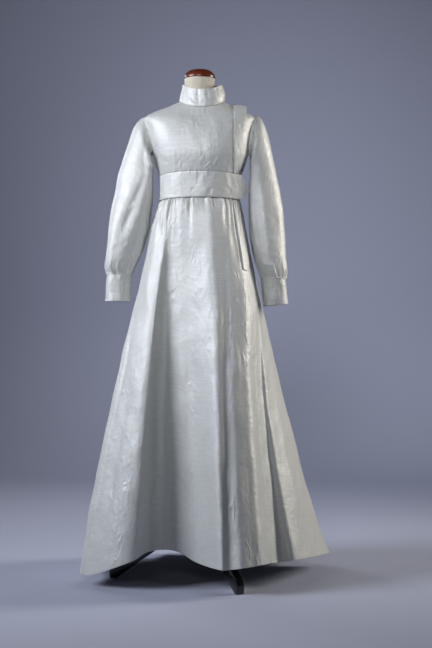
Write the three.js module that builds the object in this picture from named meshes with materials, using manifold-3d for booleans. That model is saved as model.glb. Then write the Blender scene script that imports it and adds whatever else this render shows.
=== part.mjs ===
// Empire-line evening gown with a stand collar, bishop sleeves and a long gathered skirt,
// on a linen dress form with a turned cap and a tripod stand. Millimetres, +Z up.
// The gown faces -Y, its wearer's left is +X, and the floor is z = 0 while it is built.

import * as THREE from 'three';
import Module from 'manifold-3d';
import { mergeVertices } from 'three/addons/utils/BufferGeometryUtils.js';

// ---- driving dimensions ---------------------------------------------------------------

const cloth = 1.6;               // heavy silk with its backing
const seamGap = 0.3;             // air between two pieces that are sewn together
const seatGap = 0.4;             // air between the cloth and the form that carries it
const easeOnForm = 5;            // air between the bodice and the form below the shoulders

const bodyColumns = 44;          // facets round the bodice, collar and form
const sleeveColumns = 24;
const sleeveSquare = 2.15;       // 2 is an ellipse, more is squarer
const columnsPerFold = 4;        // facets from one fold row of the skirt to the next

const coronalSeamY = 4;          // side and shoulder seams lie in this plane
const closingLineX = 104;        // front closing line on the wearer's left
const closingEdgeX = 143;        // outer edge of the closing strip at the shoulder
const closingEdgeTaper = 21;     // how much narrower the strip is at the band
const closingTaperClimb = 0.45;  // share of the strip's length that the taper takes
const shoulderLift = 18;         // how far the strip's top end stands off the shoulder

const collarHeight = 53;
const tabReachX = 152;           // point of the band's free end
const tabPointZ = 1181;
const bandLapStart = 40;         // degrees from centre front where the band leaves the body
const tabTaperStart = 66;        // degrees where the free end starts to taper
const tabEnd = 80;               // degrees where the free end's point lies
const tabSharpness = 0.97;       // 1 brings both edges of the free end to one point
const bandLift = 0.8;            // band's outer face above the bodice's
const underlapEnd = 56;          // degrees from centre front where the under end stops

const skirtGatherDepth = 2.6;
const sleeveGatherDepth = 2.4;
const skirtPuff = 9;             // fullness that the gathers push out just under the band
const gatherDrop = 0.05;         // share of the skirt's length over which the gathers fade
const highHipDrop = 0.28;        // where the high hip lies, as a share of the skirt's length
const highHipSpread = 0.2;
const foldSoftness = 0.45;       // folds are rounder above the hem by this much of a row

const stripWidth = 37;           // closing strip on the skirt
const stripStand = 2.2;          // closing strips: outer face above the panel below
const stripTopX = 99;            // its front edge at the band
const stripEndX = 128;           // its front edge at the pointed end
const stripEndZ = 962;           // where the pointed end starts
const stripPointZ = 934;
const stripPointBlunt = 1.6;     // 1 would bring the end to a sharp point
const stripOverlap = 1.6;        // extra depth that is then trimmed to the cloth below

const footReach = 278;           // toe of each leg from the pole
const firstLegTurn = 26;         // degrees from centre front towards +X
const legCount = 3;
const poleRadius = 12;
const hubRadius = 27;
const hubBottomZ = 118;
const hubTopZ = 232;
const formBottomZ = 905;
const capBaseZ = 1530;
const capTopZ = 1559;

// ---- sections and folds ---------------------------------------------------------------

// Rings round the body from the skirt seam up to the collar seam. side, front and back are
// heights there; half is the half width, fore and aft the depths before and behind the axis.
const bandSections = [
  { side: 1155, front: 1160, back: 1156, half: 123, shift: 0, fore: 104, aft: 86, square: 2.2 },
  { side: 1191, front: 1198, back: 1193, half: 123, shift: 0, fore: 105, aft: 85, square: 2.2 },
  { side: 1228, front: 1237, back: 1230, half: 124, shift: 0, fore: 108, aft: 86, square: 2.2 },
];
const bodiceSections = [
  { side: 1228, front: 1237, back: 1230, half: 124, shift: 0, fore: 108, aft: 86, square: 2.2 },
  { side: 1255, front: 1260, back: 1256, half: 134, shift: 2, fore: 116, aft: 90, square: 2.25 },
  { side: 1290, front: 1292, back: 1290, half: 144, shift: 3, fore: 123, aft: 95, square: 2.35 },
  { side: 1332, front: 1330, back: 1332, half: 153, shift: 1, fore: 119, aft: 100, square: 2.5 },
  { side: 1375, front: 1368, back: 1376, half: 161, shift: 0, fore: 107, aft: 101, square: 2.6 },
  { side: 1408, front: 1395, back: 1410, half: 166, shift: 0, fore: 94, aft: 95, square: 2.6 },
  { side: 1425, front: 1410, back: 1431, half: 143, shift: 1, fore: 83, aft: 85, square: 2.4 },
  { side: 1442, front: 1424, back: 1449, half: 105, shift: 4, fore: 73, aft: 73, square: 2.2 },
  { side: 1459, front: 1436, back: 1466, half: 69, shift: 7, fore: 64, aft: 62, square: 2.1 },
];
const neckSeam = bodiceSections[bodiceSections.length - 1];
const collarMiddle = { ...neckSeam, half: 67.5, shift: 10, fore: 63, aft: 60 };
const collarTop = { ...neckSeam, half: 61, shift: 9, fore: 61, aft: 58 };

// The form below the bodice, from its flat foot up to the band, and its neck above.
const hipSections = [
  { side: 905, front: 905, back: 905, half: 141, shift: 0, fore: 84, aft: 96, square: 2.2 },
  { side: 950, front: 950, back: 950, half: 144, shift: 0, fore: 88, aft: 100, square: 2.2 },
  { side: 1010, front: 1010, back: 1010, half: 134, shift: 0, fore: 86, aft: 92, square: 2.2 },
  { side: 1080, front: 1080, back: 1080, half: 113, shift: 0, fore: 83, aft: 78, square: 2.2 },
  { side: 1150, front: 1154, back: 1151, half: 114, shift: 0, fore: 94, aft: 77, square: 2.2 },
];
const neckSections = [
  { side: 1474, front: 1458, back: 1478, half: 49, shift: 2, fore: 50, aft: 50, square: 2 },
  { side: 1500, front: 1496, back: 1502, half: 46.5, shift: 0, fore: 47, aft: 47, square: 2 },
  { side: 1529.7, front: 1529.7, back: 1529.7, half: 46, shift: 0, fore: 46, aft: 46, square: 2 },
];

// Sleeve sections from inside the armhole to the cuff seam: the outer and inner points of
// each section as seen from the front, its middle in depth and its half depth.
const rightSleeve = [            // wearer's right arm, on the -X side
  { outX: -138, outZ: 1409, inX: -136, inZ: 1303, midY: 4, deep: 50 },
  { outX: -167, outZ: 1412, inX: -149, inZ: 1300, midY: 4, deep: 54 },
  { outX: -184, outZ: 1402, inX: -153, inZ: 1292, midY: 4, deep: 57 },
  { outX: -204, outZ: 1371, inX: -152, inZ: 1277, midY: 5, deep: 58 },
  { outX: -222, outZ: 1318, inX: -149, inZ: 1256, midY: 7, deep: 58 },
  { outX: -244, outZ: 1252, inX: -146, inZ: 1226, midY: 10, deep: 58 },
  { outX: -258, outZ: 1190, inX: -143.5, inZ: 1180, midY: 12, deep: 59 },
  { outX: -271, outZ: 1123, inX: -149, inZ: 1120, midY: 11, deep: 60 },
  { outX: -278, outZ: 1055, inX: -160, inZ: 1055, midY: 8, deep: 58 },
  { outX: -284, outZ: 995, inX: -178, inZ: 995, midY: 3, deep: 53 },
  { outX: -288, outZ: 957, inX: -197, inZ: 959, midY: -1, deep: 44 },
  { outX: -281, outZ: 933.3, inX: -209.5, inZ: 934.3, midY: -3, deep: 33 },
];
const rightCuff = [
  { outX: -281, outZ: 933, inX: -209.5, inZ: 934, midY: -3, deep: 33 },
  { outX: -284, outZ: 892, inX: -211.5, inZ: 892, midY: -4, deep: 34 },
  { outX: -287, outZ: 850, inX: -213, inZ: 850, midY: -5, deep: 35 },
];
const leftSleeve = [             // wearer's left arm, on the +X side
  { outX: 138, outZ: 1409, inX: 136, inZ: 1303, midY: 4, deep: 50 },
  { outX: 166, outZ: 1418, inX: 149, inZ: 1301, midY: 4, deep: 54 },
  { outX: 187, outZ: 1408, inX: 155, inZ: 1293, midY: 4, deep: 57 },
  { outX: 205, outZ: 1367, inX: 155, inZ: 1277, midY: 6, deep: 57 },
  { outX: 217, outZ: 1318, inX: 154, inZ: 1256, midY: 9, deep: 56 },
  { outX: 231, outZ: 1256, inX: 152.5, inZ: 1228, midY: 13, deep: 55 },
  { outX: 244, outZ: 1190, inX: 151, inZ: 1180, midY: 15, deep: 55 },
  { outX: 255, outZ: 1123, inX: 152.5, inZ: 1113, midY: 14, deep: 56 },
  { outX: 260.5, outZ: 1050, inX: 156, inZ: 1045, midY: 11, deep: 55 },
  { outX: 262.5, outZ: 985, inX: 167, inZ: 981, midY: 6, deep: 51 },
  { outX: 265, outZ: 945, inX: 178, inZ: 943, midY: 2, deep: 43 },
  { outX: 261, outZ: 919.3, inX: 188, inZ: 921.3, midY: 0, deep: 33 },
];
const leftCuff = [
  { outX: 261, outZ: 919, inX: 188, inZ: 921, midY: 0, deep: 33 },
  { outX: 265.5, outZ: 880, inX: 192, inZ: 877, midY: -1, deep: 34 },
  { outX: 270, outZ: 841, inX: 197, inZ: 833, midY: -2, deep: 35 },
];

// Skirt folds, all round from the wearer's right side: waist is the angle at the band in
// degrees from centre front towards +X, side and fore place the hem, rise is its height
// above the floor, settle over 1 takes the fold out early on the way down, full its puff
// under the band, and hip how far it stands out over the high hip.
const skirtFolds = [
  { waist: -92, side: -359, fore: 99, rise: 36, settle: 1.2, full: 1, hip: 0 },
  { waist: -80, side: -320, fore: 148, rise: 39, settle: 1.15, full: 1, hip: 0 },
  { waist: -67, side: -250, fore: 198, rise: 68, settle: 1.15, full: 1, hip: 0 },
  { waist: -56, side: -190, fore: 204, rise: 92, settle: 1.25, full: 1, hip: 0 },
  { waist: -47, side: -158, fore: 150, rise: 104, settle: 1.7, full: 0.8, hip: 0 },
  { waist: -40, side: -127, fore: 94, rise: 103, settle: 2.2, full: 0.5, hip: 0 },
  { waist: -33, side: -90, fore: 98, rise: 104, settle: 2.0, full: 0.7, hip: 0 },
  { waist: -23, side: -53, fore: 124, rise: 98, settle: 1.6, full: 1, hip: 0 },
  { waist: -8, side: -12, fore: 162, rise: 79, settle: 1.3, full: 1, hip: 0 },
  { waist: 12, side: 58, fore: 293, rise: 80, settle: 1.1, full: 1, hip: 0 },
  { waist: 30, side: 88, fore: 289, rise: 79, settle: 1.05, full: 0.8, hip: 0 },
  { waist: 41, side: 122, fore: 305, rise: 85, settle: 1.0, full: 0.6, hip: 4 },
  { waist: 50, side: 156, fore: 290, rise: 88, settle: 1.0, full: 0.4, hip: 8 },
  { waist: 59, side: 189, fore: 262, rise: 89, settle: 1.0, full: 0.2, hip: 14 },
  { waist: 68, side: 214, fore: 172, rise: 78, settle: 1.0, full: 0.1, hip: 20 },
  { waist: 77, side: 250, fore: 110, rise: 70, settle: 0.95, full: 0.1, hip: 19 },
  { waist: 87, side: 303, fore: 96, rise: 77, settle: 0.9, full: 0.3, hip: 10 },
  { waist: 98, side: 417, fore: -200, rise: 48, settle: 0.85, full: 0.6, hip: 0 },
  { waist: 112, side: 314, fore: -250, rise: 40, settle: 0.95, full: 1, hip: 0 },
  { waist: 126, side: 292, fore: -385, rise: 30, settle: 0.85, full: 1, hip: 0 },
  { waist: 141, side: 166, fore: -392, rise: 26, settle: 0.95, full: 1, hip: 0 },
  { waist: 157, side: 74, fore: -486, rise: 18, settle: 0.85, full: 1, hip: 0 },
  { waist: 172, side: -22, fore: -428, rise: 18, settle: 0.95, full: 1, hip: 0 },
  { waist: 188, side: -132, fore: -462, rise: 18, settle: 0.85, full: 1, hip: 0 },
  { waist: 203, side: -196, fore: -352, rise: 26, settle: 0.95, full: 1, hip: 0 },
  { waist: 218, side: -298, fore: -312, rise: 28, settle: 0.95, full: 1, hip: 0 },
  { waist: 232, side: -290, fore: -190, rise: 33, settle: 1.05, full: 1, hip: 0 },
  { waist: 246, side: -346, fore: -118, rise: 33, settle: 1.05, full: 1, hip: 0 },
  { waist: 257, side: -334, fore: -10, rise: 38, settle: 1.15, full: 1, hip: 0 },
];
const leftSeamFold = 14;         // skirt seams, by fold row
const centreBackFold = 21.7;
const rightSeamFold = 0.45;
const skirtLevels = [0, 0.02, 0.05, 0.1, 0.18, 0.28, 0.41, 0.55, 0.7, 0.85, 1];

// ---- finishes -------------------------------------------------------------------------

const finishes = {
  silk: { color: 0xe4e8ea, roughness: 0.42, metalness: 0 },
  linen: { color: 0xd2cabb, roughness: 0.9, metalness: 0 },
  cherryWood: { color: 0x4a1f10, roughness: 0.35, metalness: 0 },
  blackLacquer: { color: 0x0b0b0c, roughness: 0.2, metalness: 0 },
};

const gown = new THREE.Group();

function addPiece(name, geometry, finish) {
  geometry.computeVertexNormals();
  const piece = new THREE.Mesh(geometry, new THREE.MeshStandardMaterial(finishes[finish]));
  piece.name = name;
  gown.add(piece);
}

// ---- curves through table rows --------------------------------------------------------

function smoothStep(low, high, value) {
  const part = Math.min(1, Math.max(0, (value - low) / (high - low)));
  return part * part * (3 - 2 * part);
}

function catmullRom(before, from, to, after, part) {
  const pull = (to - before) / 2;
  const push = (after - from) / 2;
  const rise = to - from;
  return from + part * (pull + part * (3 * rise - 2 * pull - push + part * (pull + push - 2 * rise)));
}

// A row between two rows of a table, with every column interpolated smoothly.
function rowAt(table, place, looped) {
  const count = table.length;
  const index = looped ? Math.floor(place) : Math.min(count - 2, Math.max(0, Math.floor(place)));
  const part = place - index;
  const pick = (step) => looped
    ? table[((index + step) % count + count) % count]
    : table[Math.min(count - 1, Math.max(0, index + step))];
  const rows = [pick(-1), pick(0), pick(1), pick(2)];
  const row = {};
  for (const column of Object.keys(table[0])) {
    row[column] = catmullRom(...rows.map((entry) => entry[column]), part);
  }
  return row;
}

const signedPower = (value, power) => Math.sign(value) * Math.abs(value) ** power;

// A point of a body ring; turn runs in radians from centre front towards +X.
function ringPoint(section, turn) {
  const across = Math.sin(turn);
  const ahead = Math.cos(turn);
  const power = 2 / section.square;
  const depth = ahead > 0 ? section.fore : section.aft;
  const end = ahead > 0 ? section.front : section.back;
  return new THREE.Vector3(
    section.shift + section.half * signedPower(across, power),
    -depth * signedPower(ahead, power),
    section.side + (end - section.side) * Math.abs(ahead) ** 1.5,
  );
}

// ---- cloth walls ----------------------------------------------------------------------

// Unit normal of a surface that runs round (u) and along (v), by small steps.
function surfaceNormal(surface, u, v, range) {
  const step = 1e-3;
  const low = Math.max(range[0], v - step);
  const high = Math.min(range[1], v + step);
  const round = surface(u + step, v).sub(surface(u - step, v));
  const along = surface(u, high).sub(surface(u, low));
  return round.cross(along).normalize();
}

// A grid of outer points with normals: rows are levels, columns run round. The normals of
// the two end rows are kept level, so that a wall's edges meet their neighbours squarely.
function clothGrid(surface, columnsAt, levels, outward) {
  const range = [levels[0], levels[levels.length - 1]];
  return levels.map((level) => columnsAt(level).map((u) => {
    const point = surface(u, level);
    const normal = surfaceNormal(surface, u, level, range).multiplyScalar(outward);
    if (range.includes(level)) normal.setZ(0).normalize();
    return { point, normal };
  }));
}

// Closed wall between a grid moved out by lift and the same grid moved in by depth.
function wallOf(grid, lift, depth, closedRound) {
  const rows = grid.length;
  const columns = grid[0].length;
  const positions = [];
  for (const offset of [lift, lift - depth]) {
    for (const row of grid) {
      for (const { point, normal } of row) {
        const moved = point.clone().addScaledVector(normal, offset);
        positions.push(moved.x, moved.y, moved.z);
      }
    }
  }
  const inner = rows * columns;
  const at = (row, column) => row * columns + (column % columns);
  const faces = [];
  const quad = (a, b, c, d) => faces.push(a, b, c, a, c, d);
  const lastColumn = closedRound ? columns : columns - 1;
  for (let row = 0; row < rows - 1; row += 1) {
    for (let column = 0; column < lastColumn; column += 1) {
      const [a, b] = [at(row, column), at(row, column + 1)];
      const [d, c] = [at(row + 1, column), at(row + 1, column + 1)];
      quad(a, b, c, d);
      quad(inner + a, inner + d, inner + c, inner + b);
    }
  }
  for (let column = 0; column < lastColumn; column += 1) {
    const [a, b] = [at(0, column), at(0, column + 1)];
    const [d, c] = [at(rows - 1, column), at(rows - 1, column + 1)];
    quad(b, a, inner + a, inner + b);
    quad(d, c, inner + c, inner + d);
  }
  if (!closedRound) {
    for (let row = 0; row < rows - 1; row += 1) {
      const [a, d] = [at(row, 0), at(row + 1, 0)];
      const [b, c] = [at(row, columns - 1), at(row + 1, columns - 1)];
      quad(a, d, inner + d, inner + a);
      quad(c, b, inner + b, inner + c);
    }
  }
  return facingOut(positions, faces);
}

// Filled body between the first and last ring of a grid, moved out by lift.
function filledBody(grid, lift) {
  const columns = grid[0].length;
  const positions = [];
  for (const row of grid) {
    for (const { point, normal } of row) {
      const moved = point.clone().addScaledVector(normal, lift);
      positions.push(moved.x, moved.y, moved.z);
    }
  }
  const faces = [];
  for (let row = 0; row < grid.length - 1; row += 1) {
    for (let column = 0; column < columns; column += 1) {
      const next = (column + 1) % columns;
      const [a, b] = [row * columns + column, row * columns + next];
      const [d, c] = [a + columns, b + columns];
      faces.push(a, b, c, a, c, d);
    }
  }
  for (const [row, turn] of [[0, false], [grid.length - 1, true]]) {
    const centre = positions.length / 3;
    const middle = new THREE.Vector3();
    for (let column = 0; column < columns; column += 1) {
      middle.add(new THREE.Vector3().fromArray(positions, 3 * (row * columns + column)));
    }
    middle.divideScalar(columns);
    positions.push(middle.x, middle.y, middle.z);
    for (let column = 0; column < columns; column += 1) {
      const [a, b] = [row * columns + column, row * columns + ((column + 1) % columns)];
      faces.push(...(turn ? [a, b, centre] : [b, a, centre]));
    }
  }
  return facingOut(positions, faces);
}

// Indexed geometry with its faces turned so that the volume is positive.
function facingOut(positions, faces) {
  const corner = [new THREE.Vector3(), new THREE.Vector3(), new THREE.Vector3()];
  let volume = 0;
  for (let i = 0; i < faces.length; i += 3) {
    corner.forEach((point, k) => point.fromArray(positions, 3 * faces[i + k]));
    volume += corner[0].dot(corner[1].clone().cross(corner[2]));
  }
  const order = volume < 0 ? faces.slice().reverse() : faces;
  const geometry = new THREE.BufferGeometry();
  geometry.setAttribute('position', new THREE.Float32BufferAttribute(positions, 3));
  geometry.setIndex(order);
  return geometry;
}

// ---- boolean cuts ---------------------------------------------------------------------

const wasm = await Module();
wasm.setup();

function solidOf(geometry) {
  const bare = geometry.clone();
  for (const name of Object.keys(bare.attributes)) {
    if (name !== 'position') bare.deleteAttribute(name);
  }
  const merged = mergeVertices(bare, 1e-4);
  return new wasm.Manifold(new wasm.Mesh({
    numProp: 3,
    vertProperties: new Float32Array(merged.attributes.position.array),
    triVerts: new Uint32Array(merged.index.array),
  }));
}

function geometryOf(solid) {
  const mesh = solid.getMesh();
  const geometry = new THREE.BufferGeometry();
  geometry.setAttribute('position', new THREE.Float32BufferAttribute(mesh.vertProperties, 3));
  geometry.setIndex(Array.from(mesh.triVerts));
  return geometry;
}

function block(low, high) {
  const size = high.map((value, axis) => value - low[axis]);
  const box = new THREE.BoxGeometry(...size);
  box.translate(...low.map((value, axis) => value + size[axis] / 2));
  return solidOf(box);
}

// The largest separate body of a cut solid.
function largestBody(solid) {
  return solid.decompose().reduce((best, body) => (body.volume() > best.volume() ? body : best));
}

// ---- bodice ---------------------------------------------------------------------------

const turnsRound = Array.from({ length: bodyColumns }, (_, i) => (2 * Math.PI * i) / bodyColumns);
const bodiceTop = bodiceSections.length - 1;
const bodiceLevels = [0, 1, 2, 3, 4, 4.6, 5, 5.5, 6, 7, bodiceTop];

function bodiceSurface(turn, level) {
  return ringPoint(rowAt(bodiceSections, level, false), turn);
}

const bodiceGrid = clothGrid(bodiceSurface, () => turnsRound, bodiceLevels, 1);
for (const node of bodiceGrid[0]) node.point.z += seamGap;

// ---- sleeves and cuffs ----------------------------------------------------------------

function sleevePoint(section, turn) {
  const outer = new THREE.Vector3(section.outX, section.midY, section.outZ);
  const inner = new THREE.Vector3(section.inX, section.midY, section.inZ);
  const middle = outer.clone().add(inner).divideScalar(2);
  const arm = outer.sub(inner).divideScalar(2);
  const power = 2 / sleeveSquare;
  return middle
    .addScaledVector(arm, signedPower(Math.cos(turn), power))
    .add(new THREE.Vector3(0, -section.deep * signedPower(Math.sin(turn), power), 0));
}

function gatheredSleeve(sections) {
  const last = sections.length - 1;
  return (turn, level) => {
    const section = rowAt(sections, level, false);
    const point = sleevePoint(section, turn);
    const middle = sleevePoint(section, 0).add(sleevePoint(section, Math.PI)).divideScalar(2);
    const grown = smoothStep(last - 2.2, last - 0.7, level);
    const held = 1 - 0.35 * smoothStep(last - 0.5, last, level);
    const wave = sleeveGatherDepth * grown * held * Math.cos((sleeveColumns / 4) * turn);
    return point.add(point.clone().sub(middle).normalize().multiplyScalar(wave));
  };
}

const sleeveTurns = Array.from({ length: sleeveColumns }, (_, i) => (2 * Math.PI * i) / sleeveColumns);
const sleeveLevels = [0, 1, 1.6, 2.3, 3.1, 4, 5.2, 6.4, 7.6, 8.8, 9.7, 10.4, 11];
const cuffLevels = [0, 1, 2];

function armPieces(sections, cuff, side) {
  const outward = side > 0 ? -1 : 1;
  const sleeve = clothGrid(gatheredSleeve(sections), () => sleeveTurns, sleeveLevels, outward);
  const cuffSurface = (turn, level) => sleevePoint(rowAt(cuff, level, false), turn);
  const cuffGrid = clothGrid(cuffSurface, () => sleeveTurns, cuffLevels, outward);
  return { sleeve, cuff: wallOf(cuffGrid, 0, cloth, true) };
}

const rightArm = armPieces(rightSleeve, rightCuff, -1);
const leftArm = armPieces(leftSleeve, leftCuff, 1);

// The sleeve butts against the bodice, and the bodice is open inside the sleeve.
const bodiceOutside = solidOf(filledBody(bodiceGrid, seamGap));
const openBodice = solidOf(wallOf(bodiceGrid, 0, cloth, true))
  .subtract(solidOf(filledBody(rightArm.sleeve, -cloth)))
  .subtract(solidOf(filledBody(leftArm.sleeve, -cloth)));
const sleeveSolid = (grid) => largestBody(solidOf(wallOf(grid, 0, cloth, true)).subtract(bodiceOutside));

// Side, shoulder and closing seams are cut as thin gaps.
const clear = 400;               // a cutting block reaches this far past the gown
const cutTop = 1700;
const halfGap = seamGap / 2;
const behindSeam = block([-clear, coronalSeamY - halfGap, 0], [clear, clear, cutTop]);
const beforeSeam = block([-clear, -clear, 0], [clear, coronalSeamY + halfGap, cutTop]);
const leftOfClosing = block([closingLineX - halfGap, -clear, 0], [clear, clear, cutTop]);
const rightOfClosing = block([-clear, -clear, 0], [closingLineX + halfGap, clear, cutTop]);
const frontHalf = openBodice.subtract(behindSeam);
const backHalf = openBodice.subtract(beforeSeam);
const frontMain = frontHalf.subtract(leftOfClosing);
const frontSide = frontHalf.subtract(rightOfClosing);

addPiece('bodice_front', geometryOf(largestBody(frontMain)), 'silk');
addPiece('bodice_side_front', geometryOf(largestBody(frontSide)), 'silk');
addPiece('bodice_back', geometryOf(largestBody(backHalf)), 'silk');
addPiece('sleeve_right', geometryOf(sleeveSolid(rightArm.sleeve)), 'silk');
addPiece('sleeve_left', geometryOf(sleeveSolid(leftArm.sleeve)), 'silk');
addPiece('cuff_right', rightArm.cuff, 'silk');
addPiece('cuff_left', leftArm.cuff, 'silk');

// ---- stand collar ---------------------------------------------------------------------

function collarSurface(turn, level) {
  const row = rowAt([neckSeam, collarMiddle, collarTop], level, false);
  const point = ringPoint(row, turn);
  point.z += seamGap + (level / 2) * (collarHeight - seamGap);
  return point;
}

// The collar opens at the wearer's left, above the shoulder end of the closing strip.
const collarFacets = 40;
const collarGap = 0.008;         // radians between the collar's two ends
const collarTurns = Array.from({ length: collarFacets + 1 }, (_, i) => (
  Math.PI / 2 + collarGap / 2 + ((2 * Math.PI - collarGap) * i) / collarFacets
));
const collarGrid = clothGrid(collarSurface, () => collarTurns, [0, 1, 2], 1);
addPiece('collar', wallOf(collarGrid, 0, cloth, false), 'silk');

// ---- closing strip on the bodice ------------------------------------------------------

// Level at which the ring is only as wide as x, which is the shoulder line there.
function shoulderLevel(x) {
  let [low, high] = [5, bodiceTop];
  for (let i = 0; i < 30; i += 1) {
    const middle = (low + high) / 2;
    const section = rowAt(bodiceSections, middle, false);
    if (section.shift + section.half > x) low = middle;
    else high = middle;
  }
  return low;
}

function turnAtX(section, x) {
  const part = Math.min(1, (x - section.shift) / section.half);
  return Math.asin(part ** (section.square / 2));
}

// part runs 0 to 1 across the strip and climb 0 to 1 from the band to the shoulder, where
// the strip stops a thread short of the seam.
const stripTopShare = 0.998;

function stripOnBodice(part, climb) {
  const edge = closingEdgeX - closingEdgeTaper * (1 - smoothStep(0, closingTaperClimb, climb));
  const x = closingLineX - 2 * (1 - climb) + part * (edge - closingLineX);
  const level = climb * shoulderLevel(x) * stripTopShare;
  return bodiceSurface(turnAtX(rowAt(bodiceSections, level, false), x), level);
}

const stripClimbs = [0, 0.1, 0.2, 0.32, 0.44, 0.56, 0.68, 0.78, 0.87, 0.94, 1];
const stripParts = [0, 0.25, 0.5, 0.75, 1];
const bodiceStrip = clothGrid(stripOnBodice, () => stripParts, stripClimbs, 1);
for (const [row, climb] of stripClimbs.entries()) {
  for (const [column, part] of stripParts.entries()) {
    const { point } = bodiceStrip[row][column];
    point.z += shoulderLift * climb ** 7 * (0.3 + 0.7 * part);
    if (row === 0) point.z += 2 * seamGap;
  }
}
const trimDepth = 8;             // the cloth below is cut away as deep as this
const underBodiceStrip = solidOf(wallOf(bodiceGrid, seamGap, trimDepth, true));
const bodiceStripSolid = solidOf(wallOf(bodiceStrip, stripStand, cloth + stripOverlap, false));
addPiece('placket_bodice', geometryOf(largestBody(bodiceStripSolid.subtract(underBodiceStrip))), 'silk');

// ---- midriff band ---------------------------------------------------------------------

const degrees = Math.PI / 180;
const bandLevels = [0, 1, 2];

function bandSurface(turn, level) {
  return ringPoint(rowAt(bandSections, level, false), turn);
}

// The front band leaves the body at the lap start and runs straight on to its point.
function bandFrontSurface(turn, level) {
  const leave = bandLapStart * degrees;
  if (turn <= leave) return bandSurface(turn, level);
  const start = bandSurface(leave, level);
  const heading = start.clone().sub(bandSurface(leave - 0.02, level));
  heading.z = 0;
  heading.normalize();
  start.z = bandSurface(turn, level).z;
  start.z += (tabPointZ - start.z) * tabTaper(turn);
  return start.addScaledVector(heading, (turn - leave) * tabRunPerTurn);
}

// Where the band leaves the body its front edge lies at tabLeaveX and heads outwards at
// tabHeading of its length.
const tabLeaveX = 83;
const tabHeading = 0.83;
const tabEndTurn = tabEnd * degrees;
const tabTaperTurn = tabTaperStart * degrees;
const tabRunPerTurn = (tabReachX - tabLeaveX) / tabHeading / ((tabEnd - bandLapStart) * degrees);
const tabTaper = (turn) => (
  tabSharpness * Math.max(0, (turn - tabTaperTurn) / (tabEndTurn - tabTaperTurn))
);

// Turns from one angle to another, in degrees, in equal steps.
function turnsBetween(from, to, steps) {
  return Array.from({ length: steps + 1 }, (_, i) => (from + (i * (to - from)) / steps) * degrees);
}

const sideGapTurn = halfGap / bandSections[1].half;
const frontTurns = turnsBetween(-90, bandLapStart, 20);
frontTurns[0] += sideGapTurn;
frontTurns.push(...[50, 58, tabTaperStart, 73, tabEnd].map((turn) => turn * degrees));
const backTurns = turnsBetween(underlapEnd, 270, 28);
backTurns[backTurns.length - 1] -= sideGapTurn;

const bandFrontGrid = clothGrid(bandFrontSurface, () => frontTurns, bandLevels, 1);
const bandBackGrid = clothGrid(bandSurface, () => backTurns, bandLevels, 1);
addPiece('band_front', wallOf(bandFrontGrid, bandLift, cloth, false), 'silk');
addPiece('band_back', wallOf(bandBackGrid, bandLift, cloth, false), 'silk');

// ---- skirt ----------------------------------------------------------------------------

const foldCount = skirtFolds.length;
const bandSeam = bandSections[0];

// Angle at the band of a fold row, counted on past the last row of the table.
function waistOfRow(row) {
  const lap = Math.floor(row / foldCount);
  return skirtFolds[row - lap * foldCount].waist + 360 * lap;
}

// The fold row at a place, averaged with its neighbours to round the folds above the hem.
function softFold(place, drop) {
  const reach = foldSoftness * (1 - drop);
  const rows = [place - reach, place, place + reach].map((at) => rowAt(skirtFolds, at, true));
  const soft = {};
  for (const column of Object.keys(rows[1])) {
    soft[column] = (rows[0][column] + 2 * rows[1][column] + rows[2][column]) / 4;
  }
  return soft;
}

// fold runs round by table rows, drop runs 0 to 1 from the band seam to the hem.
function skirtSurface(fold, drop) {
  const first = Math.floor(fold);
  const waists = [-1, 0, 1, 2].map((step) => waistOfRow(first + step));
  const row = softFold(fold, drop);
  const top = ringPoint(bandSeam, catmullRom(...waists, fold - first) * degrees);
  const out = 1 - (1 - drop) ** row.settle;
  const away = new THREE.Vector3(top.x, top.y, 0).normalize();
  const fade = drop / gatherDrop;
  const puff = skirtPuff * row.full * fade * Math.exp(1 - fade);
  const hip = row.hip * Math.exp(-(((drop - highHipDrop) / highHipSpread) ** 2));
  const gather = skirtGatherDepth * Math.exp(-fade) * Math.cos(2 * Math.PI * fold);
  return new THREE.Vector3(
    top.x + (row.side - top.x) * out,
    top.y + (-row.fore - top.y) * out,
    top.z - seamGap + (row.rise - top.z) * drop,
  ).addScaledVector(away, puff + hip + gather - skirtGatherDepth);
}

function skirtPanel(from, to) {
  const columnsAt = (drop) => {
    const places = [];
    const edge = (place, way) => {
      const step = 1e-3;
      const next = skirtSurface(place + step, drop);
      const reach = next.distanceTo(skirtSurface(place - step, drop)) / (2 * step);
      return place + (way * halfGap) / reach;
    };
    places.push(edge(from, 1));
    const firstInside = Math.floor(from * columnsPerFold + 0.3) + 1;
    for (let k = firstInside; k / columnsPerFold < to - 0.05; k += 1) places.push(k / columnsPerFold);
    places.push(edge(to, -1));
    return places;
  };
  return clothGrid(skirtSurface, columnsAt, skirtLevels, 1);
}

const skirtWall = (from, to) => wallOf(skirtPanel(from, to), 0, cloth, false);
addPiece('skirt_front', skirtWall(rightSeamFold, leftSeamFold), 'silk');
addPiece('skirt_back_left', skirtWall(leftSeamFold, centreBackFold), 'silk');
addPiece('skirt_back_right', skirtWall(centreBackFold, rightSeamFold + foldCount), 'silk');

// ---- closing strip on the skirt -------------------------------------------------------

// Fold place where the skirt has the given x at a drop, on the wearer's left of the front.
function foldAtX(x, drop) {
  let [low, high] = [10, leftSeamFold + 2];
  for (let i = 0; i < 30; i += 1) {
    const middle = (low + high) / 2;
    if (skirtSurface(middle, drop).x < x) low = middle;
    else high = middle;
  }
  return low;
}

const seamZ = bandSeam.side;
const meanHemZ = 60;
const dropAtZ = (z) => (seamZ - z) / (seamZ - meanHemZ);
const stripTopDrop = 0.002;      // the strip starts a thread below the band

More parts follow.
